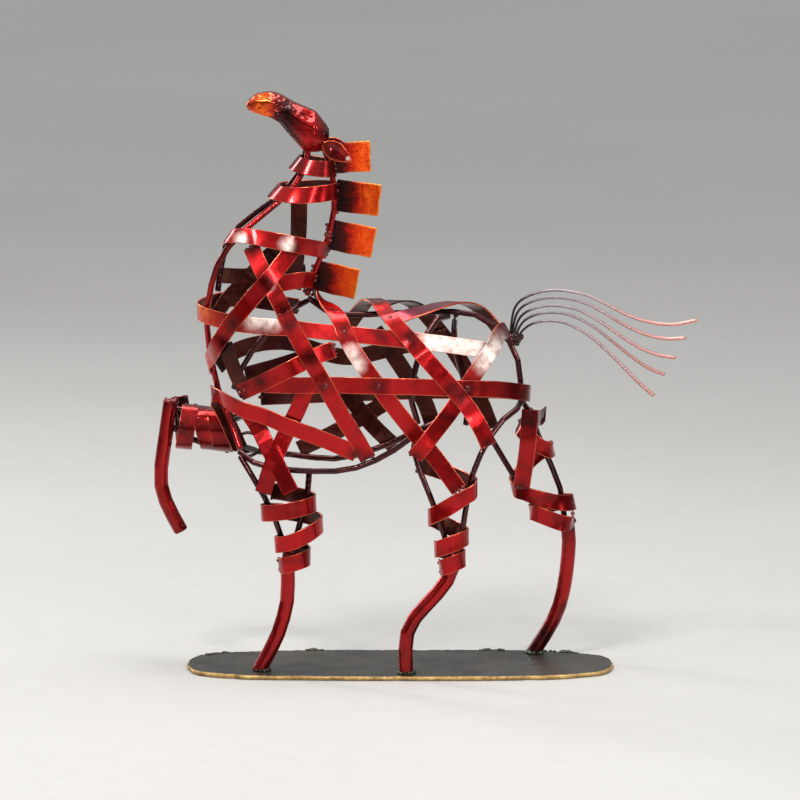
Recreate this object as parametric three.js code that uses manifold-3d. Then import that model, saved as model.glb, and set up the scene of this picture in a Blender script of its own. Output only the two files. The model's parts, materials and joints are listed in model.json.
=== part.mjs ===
// A walking horse put together from flat iron straps, round rod and scrap, welded to a torch-cut base plate.
// Millimetres, +Z up. The origin is the middle of the base plate's underside. The horse faces -X and its
// left side, called the near side here, faces -Y.
import * as THREE from 'three';
import { mergeVertices } from 'three/addons/utils/BufferGeometryUtils.js';
import Module from 'manifold-3d';

const wasm = await Module();
wasm.setup();

// Stock that the horse is welded from.
const GAP = 0.3;
const STRAP_WIDTH = 13;
const STRAP_THICKNESS = 1.4;
const ROD_DIAMETER = 4.6;
const CANNON_DIAMETER = 11;
const PLATE_THICKNESS = 1.4;
const WIRE_DIAMETER = { root: 1.8, tip: 3 };

// Base plate.
const BASE = { halfLength: 169, halfDepth: 61, thickness: 3.6, squareness: 3.4 };

// Trunk: a long rounded barrel. Its chest leans forward and its rump is rounded.
const TRUNK = { halfWidth: 43, centreHeight: 225, halfHeight: 64, roundness: 4 };
const TRUNK_SIDE = [
  { z: 165, front: -124, back: 86 },
  { z: 220, front: -145, back: 97 },
  { z: 262, front: -154, back: 90 },
  { z: 289, front: -158, back: 78 },
];
// Below this height the skin of the trunk goes straight down over the tops of the legs.
const SKIRT_HEIGHT = 188;

// Neck: flat ellipses stacked from the shoulders to the throat.
const NECK = [
  { z: 262, front: -154, back: -50, halfWidth: 37 },
  { z: 284, front: -158, back: -58, halfWidth: 36 },
  { z: 306, front: -151, back: -66, halfWidth: 33 },
  { z: 330, front: -140, back: -60, halfWidth: 29 },
  { z: 366, front: -106, back: -49, halfWidth: 22 },
  { z: 384, front: -89, back: -49, halfWidth: 18 },
  { z: 404, front: -74, back: -52, halfWidth: 12 },
];

// Crest line that the crest rod follows and the mane plates are welded to.
const CREST = [
  { z: 296, front: -73, back: -73, halfWidth: 0 },
  { z: 320, front: -65, back: -65, halfWidth: 0 },
  { z: 342, front: -56, back: -56, halfWidth: 0 },
  { z: 370, front: -51, back: -51, halfWidth: 0 },
  { z: 392, front: -53, back: -53, halfWidth: 0 },
  { z: 414, front: -60, back: -60, halfWidth: 0 },
];

// How far below its lowest level the neck fades into the trunk.
const NECK_FADE = 12;

// Head: folded sheet, given by its height and its half widths at stations from the nose to the poll.
const HEAD = [
  { x: -119, top: 448, bottom: 443, ridge: 3, cheek: 5, jaw: 3 },
  { x: -112, top: 454, bottom: 440, ridge: 4, cheek: 9, jaw: 6 },
  { x: -101, top: 456, bottom: 437, ridge: 4, cheek: 10, jaw: 7 },
  { x: -94, top: 454, bottom: 433, ridge: 3, cheek: 9, jaw: 6 },
  { x: -84, top: 448, bottom: 421, ridge: 4, cheek: 12, jaw: 7 },
  { x: -75, top: 444, bottom: 411, ridge: 5, cheek: 14, jaw: 7 },
  { x: -66, top: 440, bottom: 410, ridge: 5, cheek: 14, jaw: 7 },
  { x: -56, top: 427, bottom: 412, ridge: 4, cheek: 9, jaw: 5 },
];
const EAR = { length: 27, width: 15, droop: 33, reach: 11.9 };

// Mane: four squarish plates down the crest. Each leans back and has its own length and tilt.
const MANE = [
  { z: 404, length: 31, height: 24, tilt: 2, turn: 6 },
  { z: 375, length: 35, height: 25, tilt: -7, turn: -5 },
  { z: 344, length: 36, height: 24, tilt: -12, turn: 4 },
  { z: 312, length: 35, height: 24, tilt: -12, turn: -6 },
];

// Tail: five wires that rise from one root and fan out, each lower and shorter than the last.
const TAIL = { wires: 5, rootX: 88, rootZ: 263, peakZ: 298, peakStep: 6, tipX: 234, tipZ: 277,
  weldRadius: 6 };
const TAIL_TIP_STEP = { back: 9, down: 15 };

const COLOURS = {
  redLacquer: { color: 0xb01018, roughness: 0.2, metalness: 0.35 },
  brownLacquer: { color: 0x4a1a12, roughness: 0.32, metalness: 0.4 },
  blackRod: { color: 0x1b1413, roughness: 0.28, metalness: 0.6 },
  mottledPlate: { color: 0x8a3a14, roughness: 0.4, metalness: 0.5 },
  headSheet: { color: 0x8e1c12, roughness: 0.22, metalness: 0.45 },
  tailWire: { color: 0xa87a78, roughness: 0.35, metalness: 0.8 },
  basePlate: { color: 0x3b3630, roughness: 0.5, metalness: 0.6 },
};

const horse = new THREE.Group();
horse.name = 'scrap_metal_horse';
const laidSolids = [];

// ---------------------------------------------------------------------------------------------
// Solids
// ---------------------------------------------------------------------------------------------

function toSolid(geometry) {
  geometry.deleteAttribute('normal');
  geometry.deleteAttribute('uv');
  const merged = mergeVertices(geometry, 1e-4);
  const vertProperties = new Float32Array(merged.attributes.position.array);
  const triVerts = new Uint32Array(merged.index.array);
  const solid = new wasm.Manifold(new wasm.Mesh({ numProp: 3, vertProperties, triVerts }));
  return solid;
}

function toGeometry(solid) {
  const mesh = solid.getMesh();
  const geometry = new THREE.BufferGeometry();
  geometry.setAttribute('position', new THREE.BufferAttribute(new Float32Array(mesh.vertProperties), 3));
  geometry.setIndex(new THREE.BufferAttribute(new Uint32Array(mesh.triVerts), 1));
  geometry.computeVertexNormals();
  return geometry;
}

function largestBody(solid) {
  const bodies = solid.decompose();
  return bodies.reduce((largest, body) => (body.volume() > largest.volume() ? body : largest));
}

function addNode(name, solid, look) {
  const mesh = new THREE.Mesh(toGeometry(solid), new THREE.MeshStandardMaterial(COLOURS[look]));
  mesh.name = name;
  horse.add(mesh);
}

// Joins rings of points, each with the same count, into one closed body with flat ends.
function loft(rings) {
  const count = rings[0].length;
  const positions = rings.flat().flatMap((point) => point.toArray());
  const indices = [];
  for (let ring = 0; ring < rings.length - 1; ring += 1) {
    for (let side = 0; side < count; side += 1) {
      const a = ring * count + side;
      const b = ring * count + ((side + 1) % count);
      indices.push(a, b, b + count, a, b + count, a + count);
    }
  }
  const last = (rings.length - 1) * count;
  for (let side = 1; side < count - 1; side += 1) {
    indices.push(0, side + 1, side);
    indices.push(last, last + side, last + side + 1);
  }
  const geometry = new THREE.BufferGeometry();
  geometry.setAttribute('position', new THREE.Float32BufferAttribute(positions, 3));
  geometry.setIndex(indices);
  return toSolid(geometry);
}

function circle(diameter, sides) {
  const shape = new THREE.Shape();
  for (let side = 0; side < sides; side += 1) {
    const angle = (side * 2 * Math.PI) / sides;
    const x = (diameter / 2) * Math.cos(angle);
    const y = (diameter / 2) * Math.sin(angle);
    if (side === 0) {
      shape.moveTo(x, y);
    } else {
      shape.lineTo(x, y);
    }
  }
  return shape;
}

function roundBar(points, diameter, sides, stepLength) {
  const path = new THREE.CatmullRomCurve3(points, false, 'centripetal');
  const steps = Math.max(2, Math.round(path.getLength() / stepLength));
  const options = { steps, extrudePath: path, bevelEnabled: false };
  return toSolid(new THREE.ExtrudeGeometry(circle(diameter, sides), options));
}

// ---------------------------------------------------------------------------------------------
// The skin that the straps lie on
// ---------------------------------------------------------------------------------------------

// The measures of a profile, worked out between its listed heights.
function profileAt(profile, z) {
  const height = THREE.MathUtils.clamp(z, profile[0].z, profile[profile.length - 1].z);
  const upper = Math.max(profile.findIndex((level) => level.z >= height), 1);
  const above = profile[upper];
  const below = profile[upper - 1];
  const share = (height - below.z) / (above.z - below.z);
  const between = (measure) => THREE.MathUtils.lerp(below[measure], above[measure], share);
  const front = between('front');
  const back = between('back');
  return { middle: (front + back) / 2, halfLength: (back - front) / 2, halfWidth: between('halfWidth') };
}

function trunkReach(x, z) {
  const side = profileAt(TRUNK_SIDE, z);
  const height = Math.max(z, SKIRT_HEIGHT);
  const along = Math.abs((x - side.middle) / side.halfLength) ** TRUNK.roundness;
  const up = Math.abs((height - TRUNK.centreHeight) / TRUNK.halfHeight) ** TRUNK.roundness;
  return along >= 1 || up >= 1 ? -Math.max(along - 1, up - 1) : (1 - along) * (1 - up);
}

function neckReach(x, z) {
  const section = profileAt(NECK, z);
  const below = Math.max(NECK[0].z - z, 0) / NECK_FADE;
  return 1 - ((x - section.middle) / section.halfLength) ** 2 - below ** 2;
}

function skinHalfWidth(x, z) {
  const trunk = TRUNK.halfWidth * Math.sqrt(Math.max(trunkReach(x, z), 0));
  const neck = profileAt(NECK, z).halfWidth * Math.sqrt(Math.max(neckReach(x, z), 0));
  return Math.max(trunk, neck);
}

// Negative inside the skin, positive outside it.
function skinField(point) {
  const trunk = (point.y / TRUNK.halfWidth) ** 2 - trunkReach(point.x, point.z);
  const neck = (point.y / profileAt(NECK, point.z).halfWidth) ** 2 - neckReach(point.x, point.z);
  return Math.min(trunk, neck);
}

function skinOutward(point) {
  const step = 4;
  const slope = ['x', 'y', 'z'].map((axis) => {
    const ahead = point.clone();
    const behind = point.clone();
    ahead[axis] += step;
    behind[axis] -= step;
    return skinField(ahead) - skinField(behind);
  });
  return new THREE.Vector3(...slope).normalize();
}

// Points of the skin on the near side, the far side and the middle line. Depth is below the skin.
const near = (x, z, depth = 0) => new THREE.Vector3(x, -Math.max(skinHalfWidth(x, z) - depth, 0), z);
const far = (x, z, depth = 0) => new THREE.Vector3(x, Math.max(skinHalfWidth(x, z) - depth, 0), z);
const at = (x, y, z) => new THREE.Vector3(x, y, z);
const sideOn = () => new THREE.Vector3(0, -1, 0);

// ---------------------------------------------------------------------------------------------
// Rods and straps
// ---------------------------------------------------------------------------------------------

// A rod whose ends are coped where they meet the rods that are already there.
function layRod(name, points, options = {}) {
  const { diameter = ROD_DIAMETER, sides = 6, stepLength = 17, look = 'blackRod' } = options;
  const grown = roundBar(points, diameter + 2 * GAP, sides, stepLength);
  const rod = roundBar(points, diameter, sides, stepLength);
  const cut = laidSolids.reduce((left, laid) => left.subtract(laid.grown), rod);
  const body = largestBody(cut);
  laidSolids.push({ solid: body, grown });
  addNode(name, body, look);
}

function smoothDirections(directions) {
  return directions.map((direction, index) => {
    const before = directions[Math.max(index - 1, 0)];
    const after = directions[Math.min(index + 1, directions.length - 1)];
    return direction.clone().multiplyScalar(2).add(before).add(after).normalize();
  });
}

// Places along a strap's route: the point, the direction out of the horse and the direction across.
function strapStations(route, outward, stepLength) {
  const path = new THREE.CatmullRomCurve3(route, false, 'centripetal');
  const steps = Math.max(3, Math.round(path.getLength() / stepLength));
  const points = path.getSpacedPoints(steps);
  let normals = points.map((point) => outward(point));
  for (let pass = 0; pass < 3; pass += 1) {
    normals = smoothDirections(normals);
  }
  return points.map((point, index) => {
    const tangent = path.getTangentAt(index / steps);
    const across = new THREE.Vector3().crossVectors(tangent, normals[index]).normalize();
    const normal = new THREE.Vector3().crossVectors(across, tangent).normalize();
    return { point, normal, across };
  });
}

function strapSolid(stations, lifts, width, thickness, sink) {
  const rings = stations.map((station, index) => {
    const bottom = station.point.clone().addScaledVector(station.normal, lifts[index] - sink);
    const top = bottom.clone().addScaledVector(station.normal, thickness);
    return [
      bottom.clone().addScaledVector(station.across, -width / 2),
      top.clone().addScaledVector(station.across, -width / 2),
      top.clone().addScaledVector(station.across, width / 2),
      bottom.clone().addScaledVector(station.across, width / 2),
    ];
  });
  return loft(rings);
}

function raiseWhereTouching(stations, lifts, touching, rise) {
  const raised = lifts.slice();
  for (const corner of touching) {
    let nearest = 0;
    stations.forEach((station, index) => {
      const closer = station.point.distanceTo(corner) < stations[nearest].point.distanceTo(corner);
      nearest = closer ? index : nearest;
    });
    raised[nearest] = lifts[nearest] + rise;
  }
  return raised;
}

function easeSlopes(lifts, fall) {
  const eased = lifts.slice();
  for (let index = 1; index < eased.length; index += 1) {
    eased[index] = Math.max(eased[index], eased[index - 1] - fall);
  }
  for (let index = eased.length - 2; index >= 0; index -= 1) {
    eased[index] = Math.max(eased[index], eased[index + 1] - fall);
  }
  return eased;
}

function cornersOf(solid) {
  const mesh = solid.getMesh();
  const corners = [];
  for (let start = 0; start < mesh.vertProperties.length; start += mesh.numProp) {
    corners.push(new THREE.Vector3().fromArray(mesh.vertProperties, start));
  }
  return corners;
}

// Finds how far each place of a strap is lifted off the skin, so that it passes over what is laid.
function settle(stations, width) {
  const rise = 0.5;
  const fall = 1.3;
  let lifts = stations.map(() => 0);
  for (let pass = 0; pass < 60; pass += 1) {
    const probe = strapSolid(stations, lifts, width + 2 * GAP, STRAP_THICKNESS + 2 * GAP, GAP);
    const touching = laidSolids.flatMap((laid) => cornersOf(probe.intersect(laid.solid)));
    if (touching.length === 0) {
      return lifts;
    }
    lifts = easeSlopes(raiseWhereTouching(stations, lifts, touching, rise), fall);
  }
  return lifts;
}

function strap(route, options = {}) {
  const { outward = skinOutward, width = STRAP_WIDTH, stepLength = 9 } = options;
  const stations = strapStations(route, outward, stepLength);
  const lifts = settle(stations, width);
  return strapSolid(stations, lifts, width, STRAP_THICKNESS, 0);
}

function layStrap(name, route, look, options = {}) {
  const solid = strap(route, options);
  laidSolids.push({ solid, grown: solid });
  addNode(name, solid, look);
}

// Straps that are welded across each other and stay one piece.
function layJoinedStraps(name, routes, look, options = {}) {
  const solid = routes
    .map((route) => {
      const { outward = skinOutward, width = STRAP_WIDTH, stepLength = 9 } = options;
      const stations = strapStations(route, outward, stepLength);
      return strapSolid(stations, settle(stations, width), width, STRAP_THICKNESS, 0);
    })
    .reduce((joined, one) => joined.add(one));
  laidSolids.push({ solid, grown: solid });
  addNode(name, solid, look);
}


// ---------------------------------------------------------------------------------------------
// Base plate
// ---------------------------------------------------------------------------------------------

// A torch-cut edge: a squarish oval whose radius wanders a little, with two small nicks.
function baseOutline() {
  const corners = 72;
  const power = 2 / BASE.squareness;
  const points = [];
  for (let corner = 0; corner < corners; corner += 1) {
    const angle = (corner * 2 * Math.PI) / corners;
    const wander = 1 + 0.012 * Math.sin(5 * angle + 1) + 0.008 * Math.sin(11 * angle);
    const alongX = Math.sign(Math.cos(angle)) * Math.abs(Math.cos(angle)) ** power;
    const alongY = Math.sign(Math.sin(angle)) * Math.abs(Math.sin(angle)) ** power;
    const x = BASE.halfLength * alongX * (1 - 0.008 * Math.abs(Math.sin(7 * angle)));
    points.push(new THREE.Vector2(x, BASE.halfDepth * alongY * wander));
  }
  return points;
}

function addBasePlate() {
  const outline = new THREE.Shape(baseOutline());
  const plate = new THREE.ExtrudeGeometry(outline, { depth: BASE.thickness, bevelEnabled: false });
  const solid = toSolid(plate);
  laidSolids.push({ solid, grown: solid });
  addNode('base_plate', solid, 'basePlate');
}

// ---------------------------------------------------------------------------------------------
// Legs
// ---------------------------------------------------------------------------------------------

// A bent bar for each lower leg. Those that stand are cut off flush on the base plate.
function addCannon(name, points, stands) {
  const bar = roundBar(points, CANNON_DIAMETER, 10, 13);
  const grownBar = roundBar(points, CANNON_DIAMETER + 2 * GAP, 10, 13);
  const floor = BASE.thickness + GAP;
  const solid = stands ? bar.trimByPlane([0, 0, 1], floor) : bar;
  laidSolids.push({ solid, grown: grownBar });
  addNode(name, solid, 'redLacquer');
}

function addCannons() {
  addCannon('near_front_cannon', [
    at(-86, -33, 99), at(-88, -33, 84), at(-88, -33, 62), at(-94, -33, 37), at(-102, -33, 19), at(-114, -33, -3),
  ], true);
  addCannon('near_hind_cannon', [
    at(43, -46, 102), at(41, -46, 86), at(34, -46, 73), at(10, -46, 45), at(5, -46, 32), at(5, -46, -3),
  ], true);
  addCannon('far_hind_cannon', [
    at(133, 44, 106), at(134, 44, 94), at(131, 44, 62), at(126, 44, 40), at(118, 44, 23), at(101, 44, -3),
  ], true);
  addCannon('raised_cannon', [
    at(-181, 30, 208), at(-185, 30, 180), at(-189, 30, 150), at(-188, 30, 136), at(-182, 30, 121), at(-173, 30, 104),
  ], false);
}

function joinRods(routes) {
  return routes
    .map((route) => roundBar(route, ROD_DIAMETER, 6, 17))
    .reduce((joined, rod) => joined.add(rod));
}

// Rods that are welded into one fork, coped against what is already there.
function layFork(name, routes) {
  const cut = laidSolids.reduce((left, laid) => left.subtract(laid.grown), joinRods(routes));
  const solid = largestBody(cut);
  laidSolids.push({ solid, grown: solid });
  addNode(name, solid, 'blackRod');
}

// ---------------------------------------------------------------------------------------------
// Build order: what lies inside comes first, and each strap passes over what is already there
// ---------------------------------------------------------------------------------------------

const ROD_DEPTH = ROD_DIAMETER / 2 + GAP;
const nearRod = (x, z) => near(x, z, ROD_DEPTH);
const farRod = (x, z) => far(x, z, ROD_DEPTH);

function addFrameRods() {
  layRod('crest_rod', CREST.map((level) => at(level.back, 0, level.z)).reverse());
  layRod('near_throat_rod', [
    at(-71, -4, 414), at(-74, -6, 397), at(-84, -10, 381), at(-102, -13, 365), at(-124, -17, 347),
    at(-141, -13, 325), at(-150, -7, 292), at(-151, -2, 268), at(-147, 2, 240), at(-141, 4, 215),
    at(-133, -4, 197), at(-125, -17, 177),
  ]);
  layRod('far_throat_rod', [
    at(-73, 4, 414), at(-75, 6, 398), at(-87, 10, 381), at(-103, 14, 366), at(-124, 17, 351),
    at(-137, 13, 332), at(-143, 10, 298),
  ]);
  layRod('spine_rod', [
    at(-72, 0, 294), at(-62, 0, 286), at(-48, 0, 281), at(0, 0, 282), at(42, 0, 283), at(58, 0, 281),
    at(78, 0, 268), at(88, 0, 256), at(92, 0, 246), at(94, 0, 236), at(95, 0, 211),
  ]);
  layRod('near_shoulder_rod', [
    at(-73, -6, 292), nearRod(-88, 286), nearRod(-107, 267), nearRod(-122, 246), nearRod(-130, 226),
  ]);
  layRod('near_flank_rod', [
    at(38, -7, 280), nearRod(28, 280), nearRod(20, 268), nearRod(11, 240), nearRod(9, 218), nearRod(14, 200),
  ]);
  layRod('far_flank_rod', [
    at(44, 7, 280), farRod(43, 270), farRod(43, 250), farRod(51, 222), farRod(54, 205), farRod(52, 188),
  ]);
  layRod('near_belly_rod', [
    at(-126, -20, 175), at(-110, -31, 166), at(-75, -34, 162), at(-40, -34, 163), at(-12, -35, 174), at(21, -38, 198),
  ]);
  layRod('far_belly_rod', [
    at(-125, -14, 176), at(-112, 20, 169), at(-90, 34, 165), at(-50, 36, 161), at(-16, 36, 170), at(28, 38, 190),
  ]);
}

function addLegRods() {
  layRod('near_foreleg_front_rod', [
    at(-125, -24, 172), at(-112, -35, 152), at(-103, -36, 136), at(-95, -34, 117), at(-89, -33, 92),
  ]);
  layRod('near_foreleg_rear_rod', [
    at(-71, -31, 160), at(-72, -33, 145), at(-77, -33, 125), at(-82, -33, 106), at(-84, -33, 92),
  ]);
  layRod('near_hindleg_front_rod', [
    at(13, -38, 197), at(10, -40, 184), at(16, -45, 162), at(25, -46, 140), at(33, -46, 118), at(39, -46, 95),
  ]);
  layRod('near_hindleg_rear_rod', [
    at(95, -1, 212), at(91, -18, 208), at(79, -29, 200), at(66, -40, 182), at(57, -45, 162), at(52, -46, 138), at(46, -46, 95),
  ]);
  layFork('far_hindleg_rods', [
    [at(66, 38, 189), at(76, 39, 170), at(88, 41, 150), at(103, 43, 127), at(130, 44, 106)],
    [at(96, 1, 212), at(102, 20, 200), at(110, 34, 178), at(119, 42, 156), at(127, 44, 135), at(131, 44, 104)],
  ]);
  layFork('raised_foreleg_rods', [
    [at(-131, -2, 197), at(-124, 8, 198), at(-127, 20, 198), at(-140, 28, 197), at(-168, 30, 200), at(-184, 30, 204)],
    [at(-113, 18, 170), at(-126, 26, 173), at(-145, 29, 174), at(-166, 30, 177), at(-184, 30, 192)],
    [at(-178, 30, 203), at(-172, 30, 192), at(-170, 30, 180)],
  ]);
}

// A strap's route wound round a leg. It is given by the places, as (x, z), where it turns round one edge of
// the leg and then the other. Between two of them it bulges to the near side and to the far side in turn.
function windingRoute(leg) {
  const quarters = [0, 0.25, 0.5, 0.75];
  const route = [];
  leg.edges.slice(0, -1).forEach((edge, index) => {
    const next = leg.edges[index + 1];
    const side = (index % 2 === 0) === leg.nearFirst ? -1 : 1;
    for (const share of quarters) {
      const crossed = (1 - Math.cos(Math.PI * share)) / 2;
      const x = THREE.MathUtils.lerp(edge[0], next[0], crossed);
      const z = THREE.MathUtils.lerp(edge[1], next[1], crossed);
      route.push(at(x, leg.middle + side * leg.depth * Math.sin(Math.PI * share), z));
    }
  });
  const [lastX, lastZ] = leg.edges.at(-1);
  route.push(at(lastX, leg.middle, lastZ));
  return route;
}

// Direction out of a leg whose axis runs from its first to its last turn. Flatness is how much wider the
// leg is than deep.
function legOutward(leg) {
  const [start, end] = leg.axis.map(([x, z]) => at(x, leg.middle, z));
  const axis = end.clone().sub(start);
  const length = axis.length();
  axis.normalize();
  return (point) => {
    const height = THREE.MathUtils.clamp(point.clone().sub(start).dot(axis), 0, length);
    const outward = point.clone().sub(start).addScaledVector(axis, -height);
    outward.y *= leg.flatness;
    return outward.normalize();
  };
}

function layWinding(name, leg, look) {
  layStrap(name, windingRoute(leg), look, { outward: legOutward(leg), stepLength: 9 });
}

function addLegWindings() {
  layWinding('near_foreleg_winding', {
    axis: [[-86, 145], [-83, 88]], middle: -33, depth: 10, flatness: 1.5, nearFirst: false,
    edges: [[-97, 145], [-75, 137], [-97, 130], [-67, 119], [-90, 104], [-74, 94], [-90, 88]],
  }, 'redLacquer');
  layWinding('near_hindleg_winding', {
    axis: [[40, 165], [41, 88]], middle: -46, depth: 10, flatness: 1.5, nearFirst: false,
    edges: [[20, 168], [58, 150], [23, 127], [48, 112], [28, 102], [46, 95], [33, 88]],
  }, 'redLacquer');
  layStrap('far_hock_strap', [at(102, 34, 199), at(101, 31, 185), at(100, 29, 172), at(96, 31, 142)], 'redLacquer', {
    outward: sideOn, stepLength: 8,
  });
  layWinding('far_hindleg_winding', {
    axis: [[104, 185], [121, 110]], middle: 43, depth: 11, flatness: 1.4, nearFirst: true,
    edges: [[99, 186], [112, 166], [94, 139], [129, 123], [114, 119], [124, 111]],
  }, 'redLacquer');
  layWinding('raised_foreleg_winding', {
    axis: [[-132, 182], [-160, 185]], middle: 29, depth: 11, flatness: 1.3, nearFirst: false,
    edges: [[-133, 171], [-147, 195], [-139, 172], [-158, 196], [-150, 174], [-159, 195]],
  }, 'redLacquer');
  layWinding('raised_knee_band', {
    axis: [[-160, 188], [-171, 189]], middle: 30, depth: 13, flatness: 1.2, nearFirst: true,
    edges: [[-166, 197], [-170, 179], [-172, 197]],
  }, 'redLacquer');
}

// A strap end curled up into a small ring behind the brisket.
function addBrisketCurl() {
  const centre = at(-118, 0, 180);
  const radius = 6;
  const route = [];
  for (let step = 0; step <= 10; step += 1) {
    const angle = THREE.MathUtils.degToRad(20 + 32 * step);
    route.push(at(centre.x + radius * Math.cos(angle), centre.y, centre.z + radius * Math.sin(angle)));
  }
  const outward = (point) => point.clone().sub(centre).normalize();
  layStrap('brisket_curl', route, 'brownLacquer', { outward, width: 9, stepLength: 4 });
}

function addFarStraps() {
  layStrap('far_neck_upright', [far(-79, 375), far(-80, 340), far(-82, 318), far(-84, 297)], 'brownLacquer');
  layJoinedStraps('far_neck_cross', [
    [far(-141, 309), far(-128, 307), far(-105, 307), far(-76, 311)],
    [far(-92, 332), far(-105, 321), far(-122, 302), far(-136, 289), at(-146, 20, 275)],
  ], 'brownLacquer');
  layStrap('far_flank_strap', [
    far(-20, 263), far(-7, 245), far(5, 227), far(19, 206), at(26, 46, 186),
  ], 'brownLacquer');
  layStrap('far_rib_strap', [far(-122, 228), far(-100, 233), far(-80, 239), far(-58, 246)], 'brownLacquer');
  layStrap('far_shoulder_strap', [
    at(-143, 22, 236), far(-132, 246), far(-113, 252), far(-90, 253), far(-44, 241), far(0, 249), far(38, 258),
  ], 'brownLacquer');
  layStrap('far_thigh_strap', [far(95, 207), far(88, 197), at(82, 48, 182)], 'brownLacquer');
  layJoinedStraps('far_belly_cross', [
    [far(-80, 168), far(-52, 181), far(-24, 197), far(-6, 208)],
    [far(-4, 170), far(-17, 182), far(-28, 194), far(-45, 215)],
  ], 'brownLacquer');
}

function addNearStraps() {
  layStrap('upper_band', [
    far(-80, 283), far(-130, 288), at(-158, 4, 284), near(-133, 279), near(-85, 274), near(-20, 268), near(30, 263),
    near(66, 257),
  ], 'redLacquer');
  layStrap('collar_strap', [at(-67, -9, 309), near(-76, 311), near(-88, 310), near(-100, 308)], 'redLacquer');
  layStrap('chest_strap', [near(-136, 262), near(-131, 247), near(-125, 233), near(-119, 222)], 'brownLacquer');
  layStrap('throat_strap', [
    near(-116, 337), near(-109, 323), near(-102, 309), near(-95, 296), near(-90, 286),
  ], 'redLacquer');
  layStrap('neck_to_chest_strap', [
    near(-84, 336), near(-98, 318), near(-121, 290), near(-134, 273), at(-142, -23, 258), at(-149, -7, 245),
    at(-147, 10, 238),
  ], 'redLacquer');
  layJoinedStraps('brisket_cross', [
    [near(-118, 207), near(-110, 195), at(-103, -42, 182), at(-95, -44, 167), at(-85, -46, 147)],
    [near(-73, 228), near(-80, 211), near(-87, 197), at(-93, -42, 184), at(-100, -44, 168), at(-107, -44, 146)],
  ], 'redLacquer', { outward: sideOn });
  const roundTheBrisket = (point) => (point.y > 8 ? new THREE.Vector3(-0.4, 1, 0) : skinOutward(point));
  layStrap('brisket_strap', [
    at(-126, 12, 173), at(-133, 12, 189), at(-141, 11, 206), at(-147, 4, 217), near(-138, 218), near(-124, 213),
    near(-93, 202), near(-62, 189), at(-34, -37, 176),
  ], 'redLacquer', { outward: roundTheBrisket });
  layStrap('withers_to_thigh_strap', [
    at(-70, 6, 295), at(-61, -13, 293), near(-49, 281), near(-39, 262), near(-11, 222), near(9, 196), at(28, -49, 174),
    at(46, -55, 150),
  ], 'redLacquer', { stepLength: 7.5 });
  layStrap('rump_to_flank_strap', [
    at(85, 17, 254), at(80, 2, 266), at(75, -15, 265), near(66, 252), near(56, 236), near(43, 215), at(22, -45, 189),
    at(11, -45, 175),
  ], 'redLacquer');
  layStrap('back_strap', [
    near(-8, 279), near(5, 283), near(19, 286), at(35, -5, 289), at(50, 9, 288), far(64, 280), far(79, 262),
  ], 'redLacquer');
  layStrap('far_back_strap', [
    at(-15, -11, 289), at(-3, 5, 290), far(12, 284), far(26, 267), far(49, 236), far(64, 206), far(72, 186),
  ], 'brownLacquer');
  layStrap('waist_belt', [
    near(-107, 231), near(-40, 231), near(30, 229), near(75, 226), at(97, -3, 219), far(75, 216), far(0, 213),
    far(-60, 211), far(-110, 210),
  ], 'redLacquer');
  layStrap('rib_strap', [
    near(-124, 224), near(-112, 230), near(-85, 244), near(-62, 255), near(-51, 259),
  ], 'redLacquer');
  layStrap('shoulder_strap', [
    near(-91, 286), near(-80, 267), near(-61, 236), near(-44, 205), near(-33, 187), at(-25, -36, 172),
  ], 'redLacquer');
  layStrap('back_to_thigh_strap', [
    far(-45, 261), far(-35, 275), at(-25, 8, 289), at(-18, -9, 288), near(-5, 277), near(17, 255), near(51, 215),
    at(63, -43, 196), at(69, -44, 183),
  ], 'redLacquer');
  layStrap('lower_neck_ring', [
    at(-57, -6, 332), near(-72, 337), near(-93, 341), near(-112, 343), at(-128, -17, 342), at(-134, 3, 337),
  ], 'redLacquer');
}

// ---------------------------------------------------------------------------------------------
// Neck rings, head, mane and tail
// ---------------------------------------------------------------------------------------------

// A band bent round the neck at one height, from one angle to another. Angle zero is the crest.
function ringRoute(z, slope, startAngle, endAngle, steps) {
  const section = profileAt(NECK, z);
  const route = [];
  for (let step = 0; step <= steps; step += 1) {
    const angle = THREE.MathUtils.degToRad(THREE.MathUtils.lerp(startAngle, endAngle, step / steps));
    const x = section.middle + section.halfLength * Math.cos(angle);
    route.push(at(x, -section.halfWidth * Math.sin(angle), z + slope * Math.cos(angle)));
  }
  return route;
}

function addNeckRings() {
  layStrap('middle_neck_ring', ringRoute(377, 2, 12, 345, 18), 'redLacquer');
  layStrap('throat_ring', ringRoute(397, -1, 12, 345, 16), 'redLacquer', { stepLength: 7 });
}

function headRing(station, margin) {
  const top = station.top + margin;
  const bottom = station.bottom - margin;
  const cheek = station.cheek + margin;
  const upper = top - 0.3 * (top - bottom);
  const lower = top - 0.68 * (top - bottom);
  const nearSide = [
    at(station.x, -station.ridge, top), at(station.x, -cheek, upper),
    at(station.x, -cheek, lower), at(station.x, -station.jaw, bottom),
  ];
  const farSide = nearSide.map((point) => at(point.x, -point.y, point.z)).reverse();
  return nearSide.concat(farSide);
}

function addHead() {
  const solid = loft(HEAD.map((station) => headRing(station, 0)));
  const grown = loft(HEAD.map((station) => headRing(station, GAP)));
  laidSolids.push({ solid, grown });
  addNode('head', solid, 'headSheet');
}

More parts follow.
